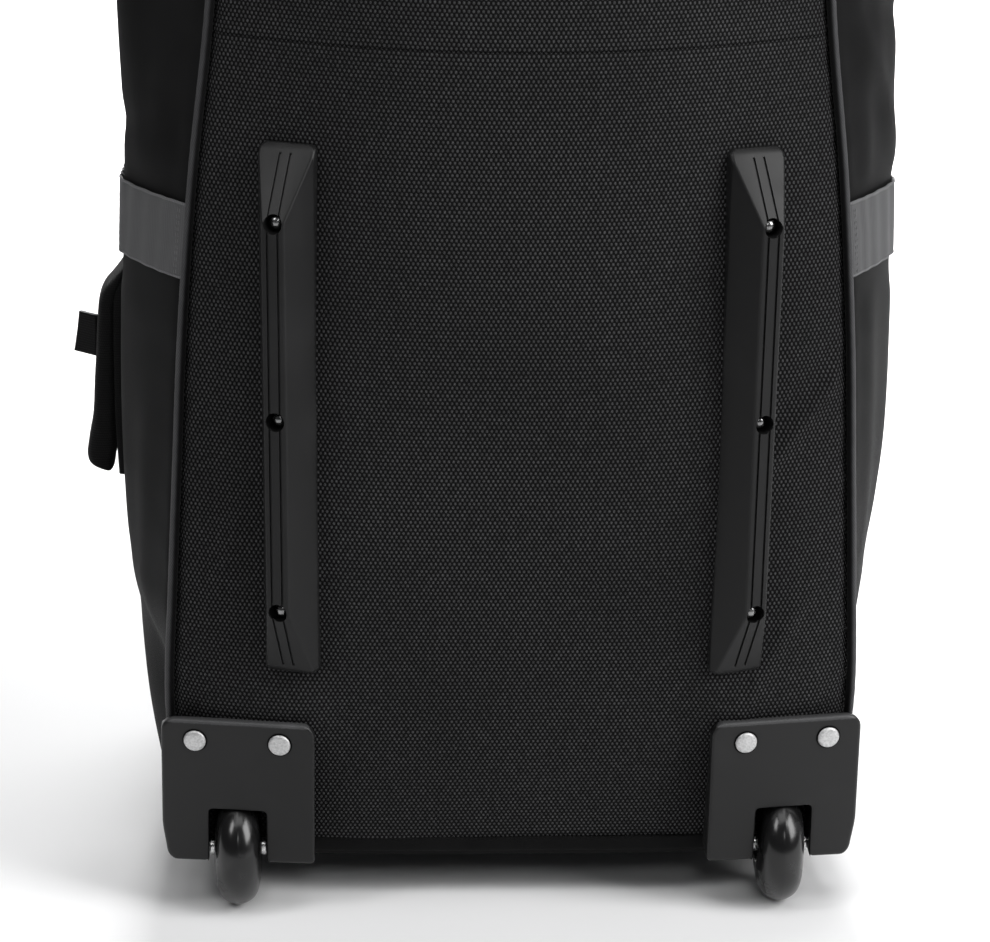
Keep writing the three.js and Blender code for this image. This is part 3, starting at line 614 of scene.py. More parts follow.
def folds_at(folds, across, z):
    """Sum of the ridges: each is a bell across its line, times a smooth fade past the line's two ends."""
    start = folds[:, 0:2]
    length = np.linalg.norm(folds[:, 2:4] - start, axis=1)
    run = (folds[:, 2:4] - start) / length[:, None]
    away = np.stack([across, z], axis=-1)[..., None, :] - start
    along = (away * run).sum(axis=-1)
    aside = away[..., 0] * run[:, 1] - away[..., 1] * run[:, 0]
    past = np.maximum(np.maximum(-along, along - length), 0)
    return (folds[:, 5] * np.exp(-(aside / folds[:, 4]) ** 2 - (past / FOLD_FADE) ** 2)).sum(axis=-1)


def back_relief(x, z, half):
    """How far the cloth lies inside the smooth back: seam, puckers, rails, guards, creases, slow waves."""
    to_edge = np.minimum(half - np.abs(x), PIPING_TOP - z)
    dip = 3.4 * (1 - smooth_step(to_edge, 1.5, 8.0)) ** 1.5
    pucker = 0.45 * np.sin(2 * np.pi * z / 23 + 1.7 * np.sin(z / 61)) * np.exp(-to_edge / 11)
    beside = np.hypot(np.maximum(np.abs(np.abs(x) - RAIL_X) - RAIL_HALF_WIDTH, 0),
                      np.maximum(np.abs(z - RAIL_Z) - RAIL_HALF_LENGTH, 0))
    press = 0.9 * bell(beside, 0, 9)
    slow = 0.45 * np.sin(x / 37 + z / 83) + 0.35 * np.sin(x / 61 - z / 47 + 1.1)
    above_guard = smooth_step(np.abs(x), 84, 108) * smooth_step(to_edge, 3, 22)
    swell = GUARD_SWELL * bell(z, GUARD_SWELL_Z, 20) * above_guard
    folds = folds_at(BACK_FOLDS, x, z) * smooth_step(to_edge, 3, 10)
    return dip + pucker + press - swell - folds + slow * smooth_step(to_edge, 5, 40)


def back_panel(heights, columns):
    """Grid over the back: x is a share of the panel's half width, y the smooth back and its small moves."""
    z = np.repeat(heights[:, None], columns, 1)
    half = outline_half(z, body_at(z)[PIPE])
    share = np.sin(np.linspace(-1, 1, columns) * np.pi / 2 * 0.9) / np.sin(np.pi / 2 * 0.9)
    x = (half - EDGE_INSET) * share
    return np.stack([x, back_depth(x, z) + back_relief(x, z, half), z], axis=2)


top_rows = CORNER_Z + (CORNER_RADIUS - EDGE_INSET) * np.sin(np.linspace(0, np.pi / 2, 36)[1:])
lower_rows = np.concatenate([np.linspace(PANEL_BOTTOM, 446, 150), np.linspace(447, SEAM_Z + 3, 13)])
lower_points = back_panel(lower_rows, 141)
lower_points[..., 1] += 2.2 * smooth_step(lower_points[..., 2], SEAM_Z - 1.2, SEAM_Z + 2)
upper_rows = np.concatenate([
    np.linspace(SEAM_Z, SEAM_Z + 12, 14), np.linspace(SEAM_Z + 15, CORNER_Z, 130), top_rows])
upper_points = back_panel(upper_rows, 121)
upper_z = upper_points[..., 2]
upper_points[..., 1] -= 0.15 * bell(upper_z, SEAM_Z + 3, 3.2)
upper_points[..., 1] += 0.8 * (1 - smooth_step(upper_z, SEAM_Z, SEAM_Z + 1.0))
for name, points in [("lower", lower_points), ("upper", upper_points)]:
    sew(f"back_cloth_{name}", points, ballistic, f"{name}_back_panel", BACK_CLOTH,
        points)

# %% [markdown]
# The sides swell between the two cords: they leave the back cord at a slant, turn, run nearly flat and draw
# in to the front, and the guards hold them in at the wheels. Long soft folds run down them, ridges of the
# same kind as on the back. A simulation would place folds by chance; lines in a table put those that the
# photograph shows in their place, and the ones further up are made up.

# %% The sides
SIDE_RISE = 0.24
SIDE_FALL = 0.5
RISE_TURN = 1.25
FALL_TURN = 1.8
HOLD_HEIGHTS = (98, 165)
HOLD_SHARES = (0.13, 0.34)
BAND_BOTTOM = 330.0
BAND_TOP = 366.0
BAND_MIDDLE = (BAND_BOTTOM + BAND_TOP) / 2
SIDE_CLOTH = 1.6
EDGE_SHARE = 0.0105
# Columns: depth and height where a fold starts, depth and height where it ends, half width, height
LEFT_FOLDS = np.array([
    [16, 520, 22, 398, 8, 1.9], [44, 470, 34, 385, 10, 1.7], [30, 400, 120, 384, 8, -1.4],
    [70, 300, 60, 190, 14, 1.6], [28, 240, 36, 150, 10, 1.4], [100, 250, 120, 120, 16, 2.0],
    [60, 700, 40, 520, 16, 3.0], [130, 640, 150, 440, 20, 3.2], [180, 560, 170, 390, 16, 2.4],
    [90, 930, 70, 730, 22, 3.6], [160, 1010, 150, 760, 22, 3.4], [190, 300, 180, 140, 18, 2.2],
])
RIGHT_FOLDS = np.array([
    [13, 492, 19, 394, 7, 2.0], [24, 432, 56, 380, 8, 2.2], [40, 455, 130, 432, 11, -2.4],
    [36, 560, 30, 446, 10, 1.8], [22, 318, 26, 190, 9, 1.2], [60, 300, 54, 200, 12, 1.5],
    [100, 280, 116, 130, 16, 1.9], [64, 760, 48, 540, 17, 3.0], [140, 660, 148, 450, 20, 3.2],
    [176, 600, 168, 400, 15, 2.4], [86, 960, 74, 770, 22, 3.4], [166, 1000, 154, 740, 22, 3.6],
])


def side_shape(t):
    """Share of the swell: a power curve rises soon from the back cord, another falls slowly to the front."""
    from_back = 1 - (1 - np.clip(t / SIDE_RISE, 0, 1)) ** RISE_TURN
    from_front = 1 - (1 - np.clip((1 - t) / SIDE_FALL, 0, 1)) ** FALL_TURN
    return from_back * from_front


def side_point(sign, t, z, with_folds=1.0):
    """Point on a side, at a share t of the way from cord to cord: a straight line pushed out by the swell,
    less where a guard holds the cloth in, and by the folds, which lie flat under the band."""
    t, z = np.broadcast_arrays(np.asarray(t, float), np.asarray(z, float))
    row = body_at(z)
    depth = t * (row[FAR] - row[DEPTH])
    loose = smooth_step(np.abs(z - BAND_MIDDLE + 5), 20, 34)
    edge = smooth_step(t, 0.0, 0.06) * smooth_step(1 - t, 0.0, 0.1)
    pucker = 0.5 * np.sin(2 * np.pi * z / 26 + 2.0 * np.sin(z / 71) + sign) * np.exp(-depth / 16)
    move = folds_at(LEFT_FOLDS if sign < 0 else RIGHT_FOLDS, depth, z) * loose + pucker
    held = (1 - smooth_step(z, *HOLD_HEIGHTS)) * (1 - smooth_step(t, *HOLD_SHARES))
    swell = row[LEFT if sign < 0 else RIGHT] * side_shape(t) * (1 - held)
    out = row[PIPE] + (row[FRONT] - row[PIPE]) * t + swell + move * edge * with_folds
    return np.stack([sign * out, row[DEPTH] + depth, z], axis=-1)


def seam_dip(t, size):
    """How far the cloth's two edges sink into the seams beside the cords."""
    return size * ((1 - smooth_step(t, 0.008, 0.03)) + (1 - smooth_step(1 - t, 0.008, 0.03)))


side_shares = EDGE_SHARE + (1 - 2 * EDGE_SHARE) * (0.5 - 0.5 * np.cos(np.linspace(0, np.pi, 61)))
side_rows = np.linspace(PANEL_BOTTOM, CORNER_Z - 0.4, 230)
for name, sign in SIDES:
    points = side_point(sign, side_shares[None, :], side_rows[:, None])
    points[..., 0] -= sign * seam_dip(side_shares, 1.3)[None, :]
    points[..., 0] -= sign * 1.2 * smooth_step(side_rows, CORNER_Z - 4, CORNER_Z)[:, None]
    sew(f"side_cloth_{name}", points, side_cloth, f"{name}_side_panel", SIDE_CLOTH,
        points)

# %% [markdown]
# The top carries the sides over in one strip: along it the path goes up one rounded corner, over a short
# flat and down the other. Across it the swell starts as the sides' and turns into a rounder crown. The front
# is a grid like the back's, and both get slow waves so that the cloth looks filled and not pressed.

# %% The top and the front
TOP_SWELL = 45.0
quarter = np.linspace(0, np.pi / 2, 40)
flat_run = np.linspace(-TOP_FLAT, TOP_FLAT, 16)[1:-1]
top_angle = np.concatenate([quarter, np.full(len(flat_run), np.pi / 2), np.pi - quarter[::-1]])
top_middle = np.concatenate([np.full(40, -TOP_FLAT), flat_run, np.full(40, TOP_FLAT)])


def top_points(lift):
    """Grid over the top: a round of the corner's radius, the swell and a lift about a moving middle."""
    t = side_shares[None, :]
    angle = top_angle[:, None]
    row = body_at(CORNER_Z + CORNER_RADIUS * np.sin(angle))
    swell = row[LEFT] + (TOP_SWELL - row[LEFT]) * np.sin(angle)
    ripple = 1.1 * np.sin(7 * t + 5 * angle) * np.sin(np.pi * t) * np.sin(angle)
    crown = 1 - np.abs(2 * t - 1) ** 2.5
    shape = side_shape(t) + (crown - side_shape(t)) * np.sin(angle) ** 2
    reach = CORNER_RADIUS + swell * shape + ripple + lift
    x = top_middle[:, None] - reach * np.cos(angle)
    y = row[DEPTH] + (row[FAR] - row[DEPTH]) * t
    return np.stack([x, y, CORNER_Z + reach * np.sin(angle)], axis=-1)


def front_depth(x, z):
    """Depth of the front: the front cord's depth and a swell that falls off towards the cords."""
    row = body_at(z)
    half = outline_half(z, row[FRONT])
    share = np.clip(np.abs(x) / half, 0, 1)
    edge = smooth_step(np.minimum(half - np.abs(x), PIPING_TOP - z), 4, 60)
    slow = 1.6 * np.sin(x / 31 + z / 120) * np.sin(z / 90) + 1.1 * np.sin(x / 57 - z / 64)
    return row[FAR] + row[BELLY] * top_fade(z) * (1 - share ** 2.2) + slow * edge


over = top_points(0.0)
dips = seam_dip(side_shares, 1.0)[None, :, None]
sunk = over * (1 - dips) + top_points(-2.2) * dips
sew("top_cloth", sunk, side_cloth, "top_panel", SIDE_CLOTH, over)

front_rows = np.concatenate([np.linspace(PANEL_BOTTOM, CORNER_Z, 150), top_rows])
front_z = np.repeat(front_rows[:, None], 91, 1)
front_half = outline_half(front_z, body_at(front_z)[FRONT])
front_x = (front_half - EDGE_INSET) * np.sin(np.linspace(-1, 1, 91) * 1.4) / np.sin(1.4)
front_edge = np.minimum(front_half - np.abs(front_x), PIPING_TOP - front_z)
front_y = front_depth(front_x, front_z) - 2.4 * (1 - smooth_step(front_edge, 1.5, 8))
front_points = np.stack([front_x, front_y, front_z], axis=2)
sew("front_cloth", front_points, side_cloth, "front_panel", SIDE_CLOTH,
    front_points)

# %% [markdown]
# Two cords frame the bag, one round the back and one round the front. A tube is a circle carried along a
# path: at each point of the path two directions square to it carry the circle. The cover is drawn in a
# little where it is sewn, so the tube's radius has a faint ripple.

# %% The cords
STITCH_STEP = 7.5
round_x = top_middle[1:-1] - CORNER_RADIUS * np.cos(top_angle[1:-1])
round_z = CORNER_Z + CORNER_RADIUS * np.sin(top_angle[1:-1])


def cord_path(half_column, depth_column):
    """Path up the left edge, over the two top corners and down the right edge."""
    z_up = np.linspace(PANEL_BOTTOM, CORNER_Z, 420)
    figures = body_at(z_up)
    left = np.stack([-figures[half_column], figures[depth_column], z_up], axis=1)
    over_top = np.stack([round_x, body_at(round_z)[depth_column], round_z], axis=1)
    return np.concatenate([left, over_top, left[::-1] * [-1, 1, 1]])


def tube(path, radius, sides):
    """Circle of a radius, or of one radius for each point, carried along a path and closed at both ends."""
    heading = unit(np.gradient(path, axis=0))
    first = unit(np.cross((0, 1, 0), heading))
    second = np.cross(heading, first)
    angle = np.linspace(0, 2 * np.pi, sides + 1)[None, :, None]
    radius = np.broadcast_to(radius, len(path))[:, None, None]
    ring = path[:, None] + radius * (np.cos(angle) * first[:, None] + np.sin(angle) * second[:, None])
    start = np.repeat(path[:1, None], sides + 1, 1)
    end = np.repeat(path[-1:, None], sides + 1, 1)
    return np.concatenate([start, ring, end])


for name, columns in [("back", (PIPE, DEPTH)), ("front", (FRONT, FAR))]:
    path = cord_path(*columns)
    run = run_along(path)
    ripple = PIPING_RADIUS * (1 - 0.035 * np.cos(2 * np.pi * run / STITCH_STEP) ** 2)
    make(f"{name}_cord", [tube(path, ripple, 14)], piping_cover, [f"{name}_piping"])
    print(name, "cord is", round(run[-1] * MM, 2), "m long")

# %% [markdown]
# Between the wheels the back panel's lower edge is bound with a smooth folded tape, and below it is the edge
# of the base board. The tape is a rounded flat section carried along that edge from guard to guard. The
# board is flat and hardly seen, so its solid stays and only gets a finish.

# %% The hem and the base board
HEM_HALF = 104
# Columns: depth behind the smooth back, height
HEM_SECTION = np.array([
    [1.2, 27.4], [0.2, 26.6], [-0.6, 26.4], [-1.1, 26.9], [-1.2, 28.2], [-1.2, 30.5], [-1.1, 32.6],
    [-1.1, 34.0], [-0.9, 34.5], [-0.2, 34.7], [0.6, 34.5], [1.2, 34.0], [1.6, 33.0], [1.6, 30.0],
    [1.2, 27.4],
])


def close_ends(rings):
    """Adds a collapsed ring at each end so that a strap or bar has no open end."""
    ends = rings[[0, -1]].mean(axis=1, keepdims=True).repeat(rings.shape[1], axis=1)
    return np.concatenate([ends[:1], rings, ends[1:]])


hem_x = np.repeat(np.linspace(-HEM_HALF, HEM_HALF, 90)[:, None], len(HEM_SECTION), 1)
hem_z = HEM_SECTION[:, 1] + 0.2 * np.sin(hem_x / 9) * (HEM_SECTION[:, 1] > 33)
hem_y = back_depth(hem_x, hem_z) + HEM_SECTION[:, 0] + 0.2 * np.sin(hem_x / 13)
hem_points = np.stack([hem_x, hem_y, hem_z], axis=2)
hem = make("hem_tape", [close_ends(hem_points)], hem_cloth)

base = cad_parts["base_panel"]
base.data.materials.clear()
base.data.materials.append(base_board)

# %% [markdown]
# A grey webbing band runs round each side from the back cord to the front. Its section is a flat loop with
# rounded edges, carried along a line on the side that droops a little. Each point of the loop finds its own
# place on the cloth and is lifted off it along the cloth's outward direction.

# %% The bands
BAND_DROOP = 2.0
BAND_THICK = 1.6
BAND_GAP = 0.35
SELVEDGE_RADIUS = 0.75


def side_frame(sign, t, z):
    """Point on a side and the outward direction there, from small steps along t and z."""
    along = side_point(sign, t + 0.004, z) - side_point(sign, t - 0.004, z)
    rise = side_point(sign, t, z + 1.0) - side_point(sign, t, z - 1.0)
    return side_point(sign, t, z), unit(np.cross(along, rise) * sign)


def rounded(turn, half, power):
    """One side of a superellipse: a sine or cosine with its sign, raised to a power, times a half width."""
    return half * np.sign(turn) * np.abs(turn) ** power


def flat_loop(half_width, thickness, count):
    """Closed section of a strap: a superellipse that is much wider than thick."""
    angle = np.linspace(0, 2 * np.pi, count + 1)
    wide = rounded(np.cos(angle), half_width, 0.25)
    return wide, rounded(np.sin(angle), thickness / 2, 0.35) + thickness / 2


band_t = np.concatenate([np.linspace(0.004, 0.06, 16)[:-1], np.linspace(0.06, 0.97, 120)])[:, None]
band_wide, band_high = flat_loop((BAND_TOP - BAND_BOTTOM) / 2, BAND_THICK, 56)
droop = BAND_DROOP * np.sin(np.pi * band_t)
tuck = 0.7 * (1 - smooth_step(band_t, 0.004, 0.014))
for name, sign in SIDES:
    wander = 0.5 * np.sin(9 * band_t + sign)
    z = BAND_MIDDLE + band_wide - droop + wander
    spot, out = side_frame(sign, np.broadcast_to(band_t, z.shape), z)
    waves = 1 + np.sin(150 * band_t + 2.4 * np.sin(21 * band_t) + z / 40)
    ripple = 0.3 * waves * smooth_step(band_t, 0.028, 0.05)
    points = spot + out * (BAND_GAP + band_high - tuck + ripple)[..., None]
    band = make(f"band_{name}", [close_ends(points)], grey_webbing, [f"{name}_band"])
    run = run_along(points[:, 0])[-1] * MM
    edges = [tube(points[:, column] + 0.25 * out[:, column], SELVEDGE_RADIUS, 8) for column in (0, 28)]
    make(f"selvedge_{name}", edges, pale_edge)
    print(band.name, "is", round(run, 3), "m of webbing")

# %% [markdown]
# Where a band meets the back cord it is sewn down with two close rows of stitches. One stitch is a tiny
# rounded bead of thread. The same bead, turned to stand up on the cloth, is laid at every place of a row.

# %% Stitches on the bands
STITCH_LONG = 1.25
STITCH_THICK = 0.26
STITCH_ROWS = (0.018, 0.024)
bead_u = np.linspace(0, np.pi, 5)[:, None]
bead_v = np.linspace(0, 2 * np.pi, 7)[None, :]
bead = np.stack([
    STITCH_LONG * np.cos(bead_u) + 0 * bead_v, STITCH_THICK * np.sin(bead_u) * np.cos(bead_v),
    STITCH_THICK * np.sin(bead_u) * np.sin(bead_v)], axis=2)
thread, tree, shader = new_finish("sewing_thread", specular=0.3, sheen=0.2)
across, along = cloth_axes(tree)
ply = ramp(wave(calc("ADD", across, along), 0.0006), -1.0, 1.0)
feed(shader, Base_Color=blend(ply, 0.09, 0.15, blue=1.02), Roughness=0.7,
     Normal=relief(ply, 0.05))

for name, sign in SIDES:
    grids = []
    for t in STITCH_ROWS:
        z = np.arange(BAND_BOTTOM + 2.2, BAND_TOP - 1.5, 3.0) - BAND_DROOP * np.sin(np.pi * t)
        spot, out = side_frame(sign, np.full_like(z, t), z)
        heading = np.tile([0.0, 0.0, 1.0], (len(z), 1))
        turn = np.stack([heading, np.cross(out, heading), out], axis=1)
        middle = spot + out * (BAND_THICK + 0.42)
        grids += list(middle[:, None, None] + bead @ turn[:, None])
    make(f"band_stitches_{name}", grids, thread)

# %% [markdown]
# The carrying handle on the left hangs slack against the side: a thick padded strap that leaves the body
# below the band and stands off it more and more towards its lower end. A row for each height says how far
# its inner and outer face are off the body, a smooth curve joins the rows, and a rounded section is carried
# down through them.

# %% The side handle
HANDLE_T = 0.42
HANDLE_NEAR_T = HANDLE_T - 0.064
HANDLE_HALF = 15.0
# Columns: height, inner face off the body, outer face off the body
HANDLE_ROWS = np.array([
    [311.5, 1.2, 2.2], [308.0, 1.8, 4.8], [303.0, 3.0, 8.8], [298.3, 4.6, 12.8], [293.4, 5.8, 14.9],
    [284.6, 6.2, 16.0], [263.2, 6.6, 17.2], [243.8, 6.8, 18.7], [226.5, 7.1, 20.7], [215.6, 7.9, 22.7],
    [209.5, 9.3, 23.7], [206.6, 9.8, 23.3], [204.8, 10.1, 21.6], [203.5, 10.6, 18.6], [202.8, 11.4, 15.4],
])


def evenly(line, count):
    """Points at even distances along a line of points."""
    run = run_along(line)
    even = np.linspace(0, run[-1], count)
    return np.stack([np.interp(even, run, column) for column in line.T], axis=1)


def curve_through(rows, count):
    """Smooth curve through points, evenly spaced: cubics whose slope at a point is set by its neighbours."""
    chord = run_along(rows)
    slope = np.gradient(rows, chord, axis=0)
    fine = np.linspace(0, chord[-1], 40 * len(rows))
    i = np.clip(np.searchsorted(chord, fine) - 1, 0, len(rows) - 2)
    gap = (chord[i + 1] - chord[i])[:, None]
    t = (fine - chord[i])[:, None] / gap
    return evenly(cubic(t, gap, rows[i], slope[i], rows[i + 1], slope[i + 1]), count)


handle_z, handle_in, handle_out = curve_through(HANDLE_ROWS, 120).T[..., None]
handle_y = float(side_point(-1, HANDLE_T, 260.0)[1])
angle = np.linspace(0, 2 * np.pi, 49)[None, :]
body_x = side_point(-1, HANDLE_NEAR_T, handle_z, 0.0)[..., 0]
dents = 0.35 * np.sin(handle_z / 6.5) * bell(handle_z, 222, 30)
pad = rounded(np.sin(angle), (handle_out - handle_in) / 2, 0.62)
handle_x = body_x - (handle_in + handle_out) / 2 - pad - dents * np.sin(angle)
handle_wide = handle_y + rounded(np.cos(angle), HANDLE_HALF, 0.45)
handle_points = np.stack(np.broadcast_arrays(handle_x, handle_wide, handle_z), axis=2)
handle = make("carry_handle", [close_ends(handle_points)], black_webbing, ["side_handle"])

# %% [markdown]
# Behind the pad lies the handle's plain strap, doubled on the side cloth, and its end shows below in the
# narrow gap. It is made like the bands, but runs downward: every point of the flat section finds its place
# on the cloth.

# %% The strap behind the handle
strap_z = np.linspace(200.6, 310, 100)[:, None]
strap_wide, strap_high = flat_loop(HANDLE_HALF - 0.5, 1.0, 32)
strap_row = body_at(strap_z)
strap_t = (handle_y + strap_wide - strap_row[DEPTH]) / (strap_row[FAR] - strap_row[DEPTH])
strap_points = side_point(-1, strap_t, strap_z, 0.0)
strap_thick = 8.2 - 6.9 * smooth_step(strap_z, 296, 311)
strap_points[..., 0] -= 0.3 + strap_high * strap_thick
strap = make("handle_strap", [close_ends(strap_points)], black_webbing)

# %% [markdown]
# A short webbing tab is sewn into the handle and sticks out, turned away from the back: a strip folded back
# on itself. Its line seen from above, a narrow loop with a round nose, is carried up through the webbing's
# width.

# %% The handle's tab
TAB_BOTTOM = 260.4
TAB_TOP = 282.0
TAB_REACH = 12.4
TAB_SLANT = 0.3
TAB_TURN = np.radians(40)
TAB_HALF = 1.25
TAB_CLOTH = 1.1
nose = np.linspace(-np.pi / 2, np.pi / 2, 11)
tab_leg = np.linspace(0, TAB_REACH - TAB_HALF, 12)[:-1]
tab_out = np.concatenate([tab_leg, TAB_REACH - TAB_HALF + TAB_HALF * np.cos(nose), tab_leg[::-1]])
tab_side = np.concatenate([np.full(11, -TAB_HALF), TAB_HALF * np.sin(nose), np.full(11, TAB_HALF)])
tab_z = np.linspace(TAB_BOTTOM, TAB_TOP, 22)[:, None]
tab_aside = tab_side + 0.5 * np.sin((tab_z - TAB_BOTTOM) / 8) * (tab_out / TAB_REACH) ** 2
tab_far = tab_out * (1 + TAB_SLANT * (TAB_TOP - tab_z) / (TAB_TOP - TAB_BOTTOM))
tab_start = float(side_point(-1, HANDLE_NEAR_T, (TAB_BOTTOM + TAB_TOP) / 2, 0.0)[0]) - 16.6
tab_x = tab_start - tab_far * np.cos(TAB_TURN) + tab_aside * np.sin(TAB_TURN)
tab_y = handle_y + tab_far * np.sin(TAB_TURN) + tab_aside * np.cos(TAB_TURN)
tab_points = np.stack([tab_x, tab_y, tab_z + 0 * tab_x], axis=2)
tab = make("handle_loop", [tab_points], black_webbing, ["handle_tab"],
           inside=(tab_start - 5, handle_y + 4, 273))
wall(tab, TAB_CLOTH)

# %% [markdown]
# The front closes with a zip that runs up one side, over the top and down the other. The photograph doesn't
# show it, so it stays plain: a woven tape that lies on the front, and the closed coil as a ribbed ridge.

# %% The zip
ZIP_INSET = 28.0
ZIP_HALF = 7.0
ZIP_TOOTH = 0.0016
zip_up = np.linspace(200, CORNER_Z, 200)
zip_left = np.stack([ZIP_INSET - body_at(zip_up)[FRONT], zip_up], axis=1)
zip_over = np.stack([0.8 * round_x, CORNER_Z + 0.74 * (round_z - CORNER_Z)], axis=1)
zip_line = curve_through(np.concatenate([zip_left, zip_over, zip_left[::-1] * [-1, 1]]), 700)
zip_heading = unit(np.gradient(zip_line, axis=0))
tape_wide, tape_high = flat_loop(ZIP_HALF, 1.4, 20)
tape_x = zip_line[:, 0:1] - zip_heading[:, 1:2] * tape_wide
tape_z = zip_line[:, 1:2] + zip_heading[:, 0:1] * tape_wide
tape_points = np.stack([tape_x, front_depth(tape_x, tape_z) + 0.5 + tape_high, tape_z], axis=2)
zip_tape = make("zip_tape", [close_ends(tape_points)], black_webbing, ["front_zip"])
zip_run = float(run_along(tape_points[:, 0])[-1] * MM)

coil_finish, tree, shader = new_finish("zip_coil")
across, along = cloth_axes(tree)
teeth = ramp(wave(along, ZIP_TOOTH), -0.6, 0.6)
feed(shader, Base_Color=blend(teeth, 0.004, 0.02, blue=1.05),
     Roughness=spread(teeth, 0.7, 0.35), Normal=relief(teeth, 0.4))
coil_path = np.stack([zip_line[:, 0], front_depth(*zip_line.T) + 2.2, zip_line[:, 1]], axis=1)
make("zip_coil", [tube(coil_path, 1.5, 10)], coil_finish)
print("zip tape is", round(zip_run, 2), "m long")

# %% [markdown]
# Each wheel sits in a moulded guard: a plate with rounded corners that wraps round the corner of the bag,
# with a slot below for the wheel and an arch behind it. Cutting a slot out of a block would leave hard
# edges. Instead one profile goes from the edge on the cloth, over the rounded rim, across the plate to the
# slot and back into the arch, and it is carried round the plate's outline from one foot of the slot to the
# other.

# %% The guards' outline
WHEEL_X = 138.3
WHEEL_Y = 33.0
WHEEL_RADIUS = 30.5
SLOT_HALF = 14.5
SLOT_TOP = 56.8
SLOT_EDGE = 0.8
GUARD_LOW = 27.5
GUARD_HIGH = 106.0
GUARD_IN = 99.5
GUARD_OUT = 176.4
GUARD_YAW = np.tan(np.radians(9))
GUARD_LEAN = np.tan(np.radians(4))
GUARD_FACE = 13.5
GUARD_FALL = 1.0
RIVET_Z = 94.9
RIVET_REACH = 21.2
ROUND_STEPS = 12
SLOT_IN = WHEEL_X - SLOT_HALF
SLOT_OUT = WHEEL_X + SLOT_HALF
SLOT_LOW = GUARD_LOW + 1.5


def guard_face(x, z):
    """Depth of the plate's plane, which slants back towards the outside and towards the floor."""
    return GUARD_FACE + (x - WHEEL_X) * GUARD_YAW + (RIVET_Z - z) * GUARD_LEAN


def rounded_path(corners, radii, cut_at):
    """Path through corners with a round at each, in even stretches that meet in some rounds' middles."""
    corners = np.array(corners, float)
    turn = np.linspace(0, np.pi / 2, ROUND_STEPS + 1)[:, None]
    line = [corners[:1]]
    for before, corner, after, radius in zip(corners[:-2], corners[1:-1], corners[2:], radii):
        come = unit(before - corner)
        leave = unit(after - corner)
        line.append(corner + radius * (come * (1 - np.sin(turn)) + leave * (1 - np.cos(turn))))
    line = np.concatenate([*line, corners[-1:]])
    middles = [1 + (ROUND_STEPS + 1) * i + ROUND_STEPS // 2 for i in cut_at]
    cuts = [0, *middles, len(line) - 1]
    stretches = [evenly(line[low:high + 1], 61)[:-1] for low, high in zip(cuts[:-1], cuts[1:])]
    return np.concatenate([*stretches, corners[-1:]])


def left_of(path):
    """Unit direction to the left of a path."""
    heading = unit(np.gradient(path, axis=0))
    return np.stack([-heading[:, 1], heading[:, 0]], axis=1)


outer = rounded_path([
    (SLOT_OUT + 2.0, GUARD_LOW), (GUARD_OUT, GUARD_LOW), (GUARD_OUT, GUARD_HIGH), (GUARD_IN, GUARD_HIGH),
    (GUARD_IN, GUARD_LOW), (SLOT_IN - 2.0, GUARD_LOW)], [5.5, 7.0, 7.0, 2.0], [1, 2])
near_foot = 1 - smooth_step(outer[:, 1], GUARD_LOW, GUARD_LOW + 22)
outer[:, 0] -= 2.6 * near_foot * smooth_step(outer[:, 0], GUARD_OUT - 16, GUARD_OUT)
outer[:, 1] += GUARD_FALL * near_foot * (1 - 2 * (outer[:, 0] - GUARD_IN) / (GUARD_OUT - GUARD_IN))
slot_corners = [(SLOT_OUT, SLOT_LOW), (SLOT_OUT, SLOT_TOP), (SLOT_IN, SLOT_TOP), (SLOT_IN, SLOT_LOW)]
slot = rounded_path(slot_corners, [2.2, 2.2], [0, 1])
inward = left_of(outer)
from_slot = -left_of(slot)
print("guard plate", round(np.ptp(outer[:, 0]), 1), "by", round(np.ptp(outer[:, 1]), 1), "mm")

# %% [markdown]
# The profile's rows now follow one another from the cloth to the arch, each a copy of the outline or slot
# moved inward and to its own depth. The plastic is the rails' kind, with a painted highlight, a paler band,
# along the top and a painted shadow ring round each rivet, both placed by the object's own metres.

# %% The wheel guards
ARCH_RADIUS = 31.5
ARCH_START = 2.6
ARCH_BACK = 13.4
ARCH_REACH = 33
RIM = 1.8
TOP_FALL = 0.45
TOP_FLAT_DEPTH = 5.0
WRAP_DEPTH = 33
FOOT_DEPTH = 26
TOP_HIGHLIGHT_FROM = 104.0
SHADOW_RING_FROM = 5.8


def plate_row(flat, depth):
    """Points of the plate's front view at a depth behind its face; the top falls away behind its edge."""
    fall = TOP_FALL * np.maximum(depth - TOP_FLAT_DEPTH, 0)
    z = flat[:, 1] - fall * smooth_step(flat[:, 1], GUARD_HIGH - 12, GUARD_HIGH)
    return np.stack([flat[:, 0], guard_face(flat[:, 0], flat[:, 1]) + depth, z], axis=1)


cloth_here = back_depth(outer[:, 0], outer[:, 1]) + 1.5 - guard_face(outer[:, 0], outer[:, 1])
beyond = smooth_step(outer[:, 0], 164, 174) * (1 - smooth_step(outer[:, 1], 74, 101))
low_down = 1 - smooth_step(outer[:, 1], GUARD_LOW + 0.5, GUARD_LOW + 8)
back_edge = np.maximum(cloth_here * (1 - beyond) + WRAP_DEPTH * beyond, FOOT_DEPTH * low_down)
rows = [plate_row(outer + inward * 7, back_edge), plate_row(outer, back_edge)]
rows.append(plate_row(outer, (back_edge + RIM) / 2))
for turn in np.linspace(0, np.pi / 2, 7):
    rows.append(plate_row(outer + inward * RIM * (1 - np.cos(turn)), RIM * (1 - np.sin(turn))))
for share in np.linspace(0, 1, 12)[1:-1]:
    across_plate = (outer + inward * RIM) * (1 - share) + (slot + from_slot * SLOT_EDGE) * share
    rows.append(plate_row(across_plate, 0.0))
for turn in np.linspace(0, np.pi / 2, 5):
    rows.append(plate_row(slot + from_slot * SLOT_EDGE * (1 - np.sin(turn)), SLOT_EDGE * (1 - np.cos(turn))))
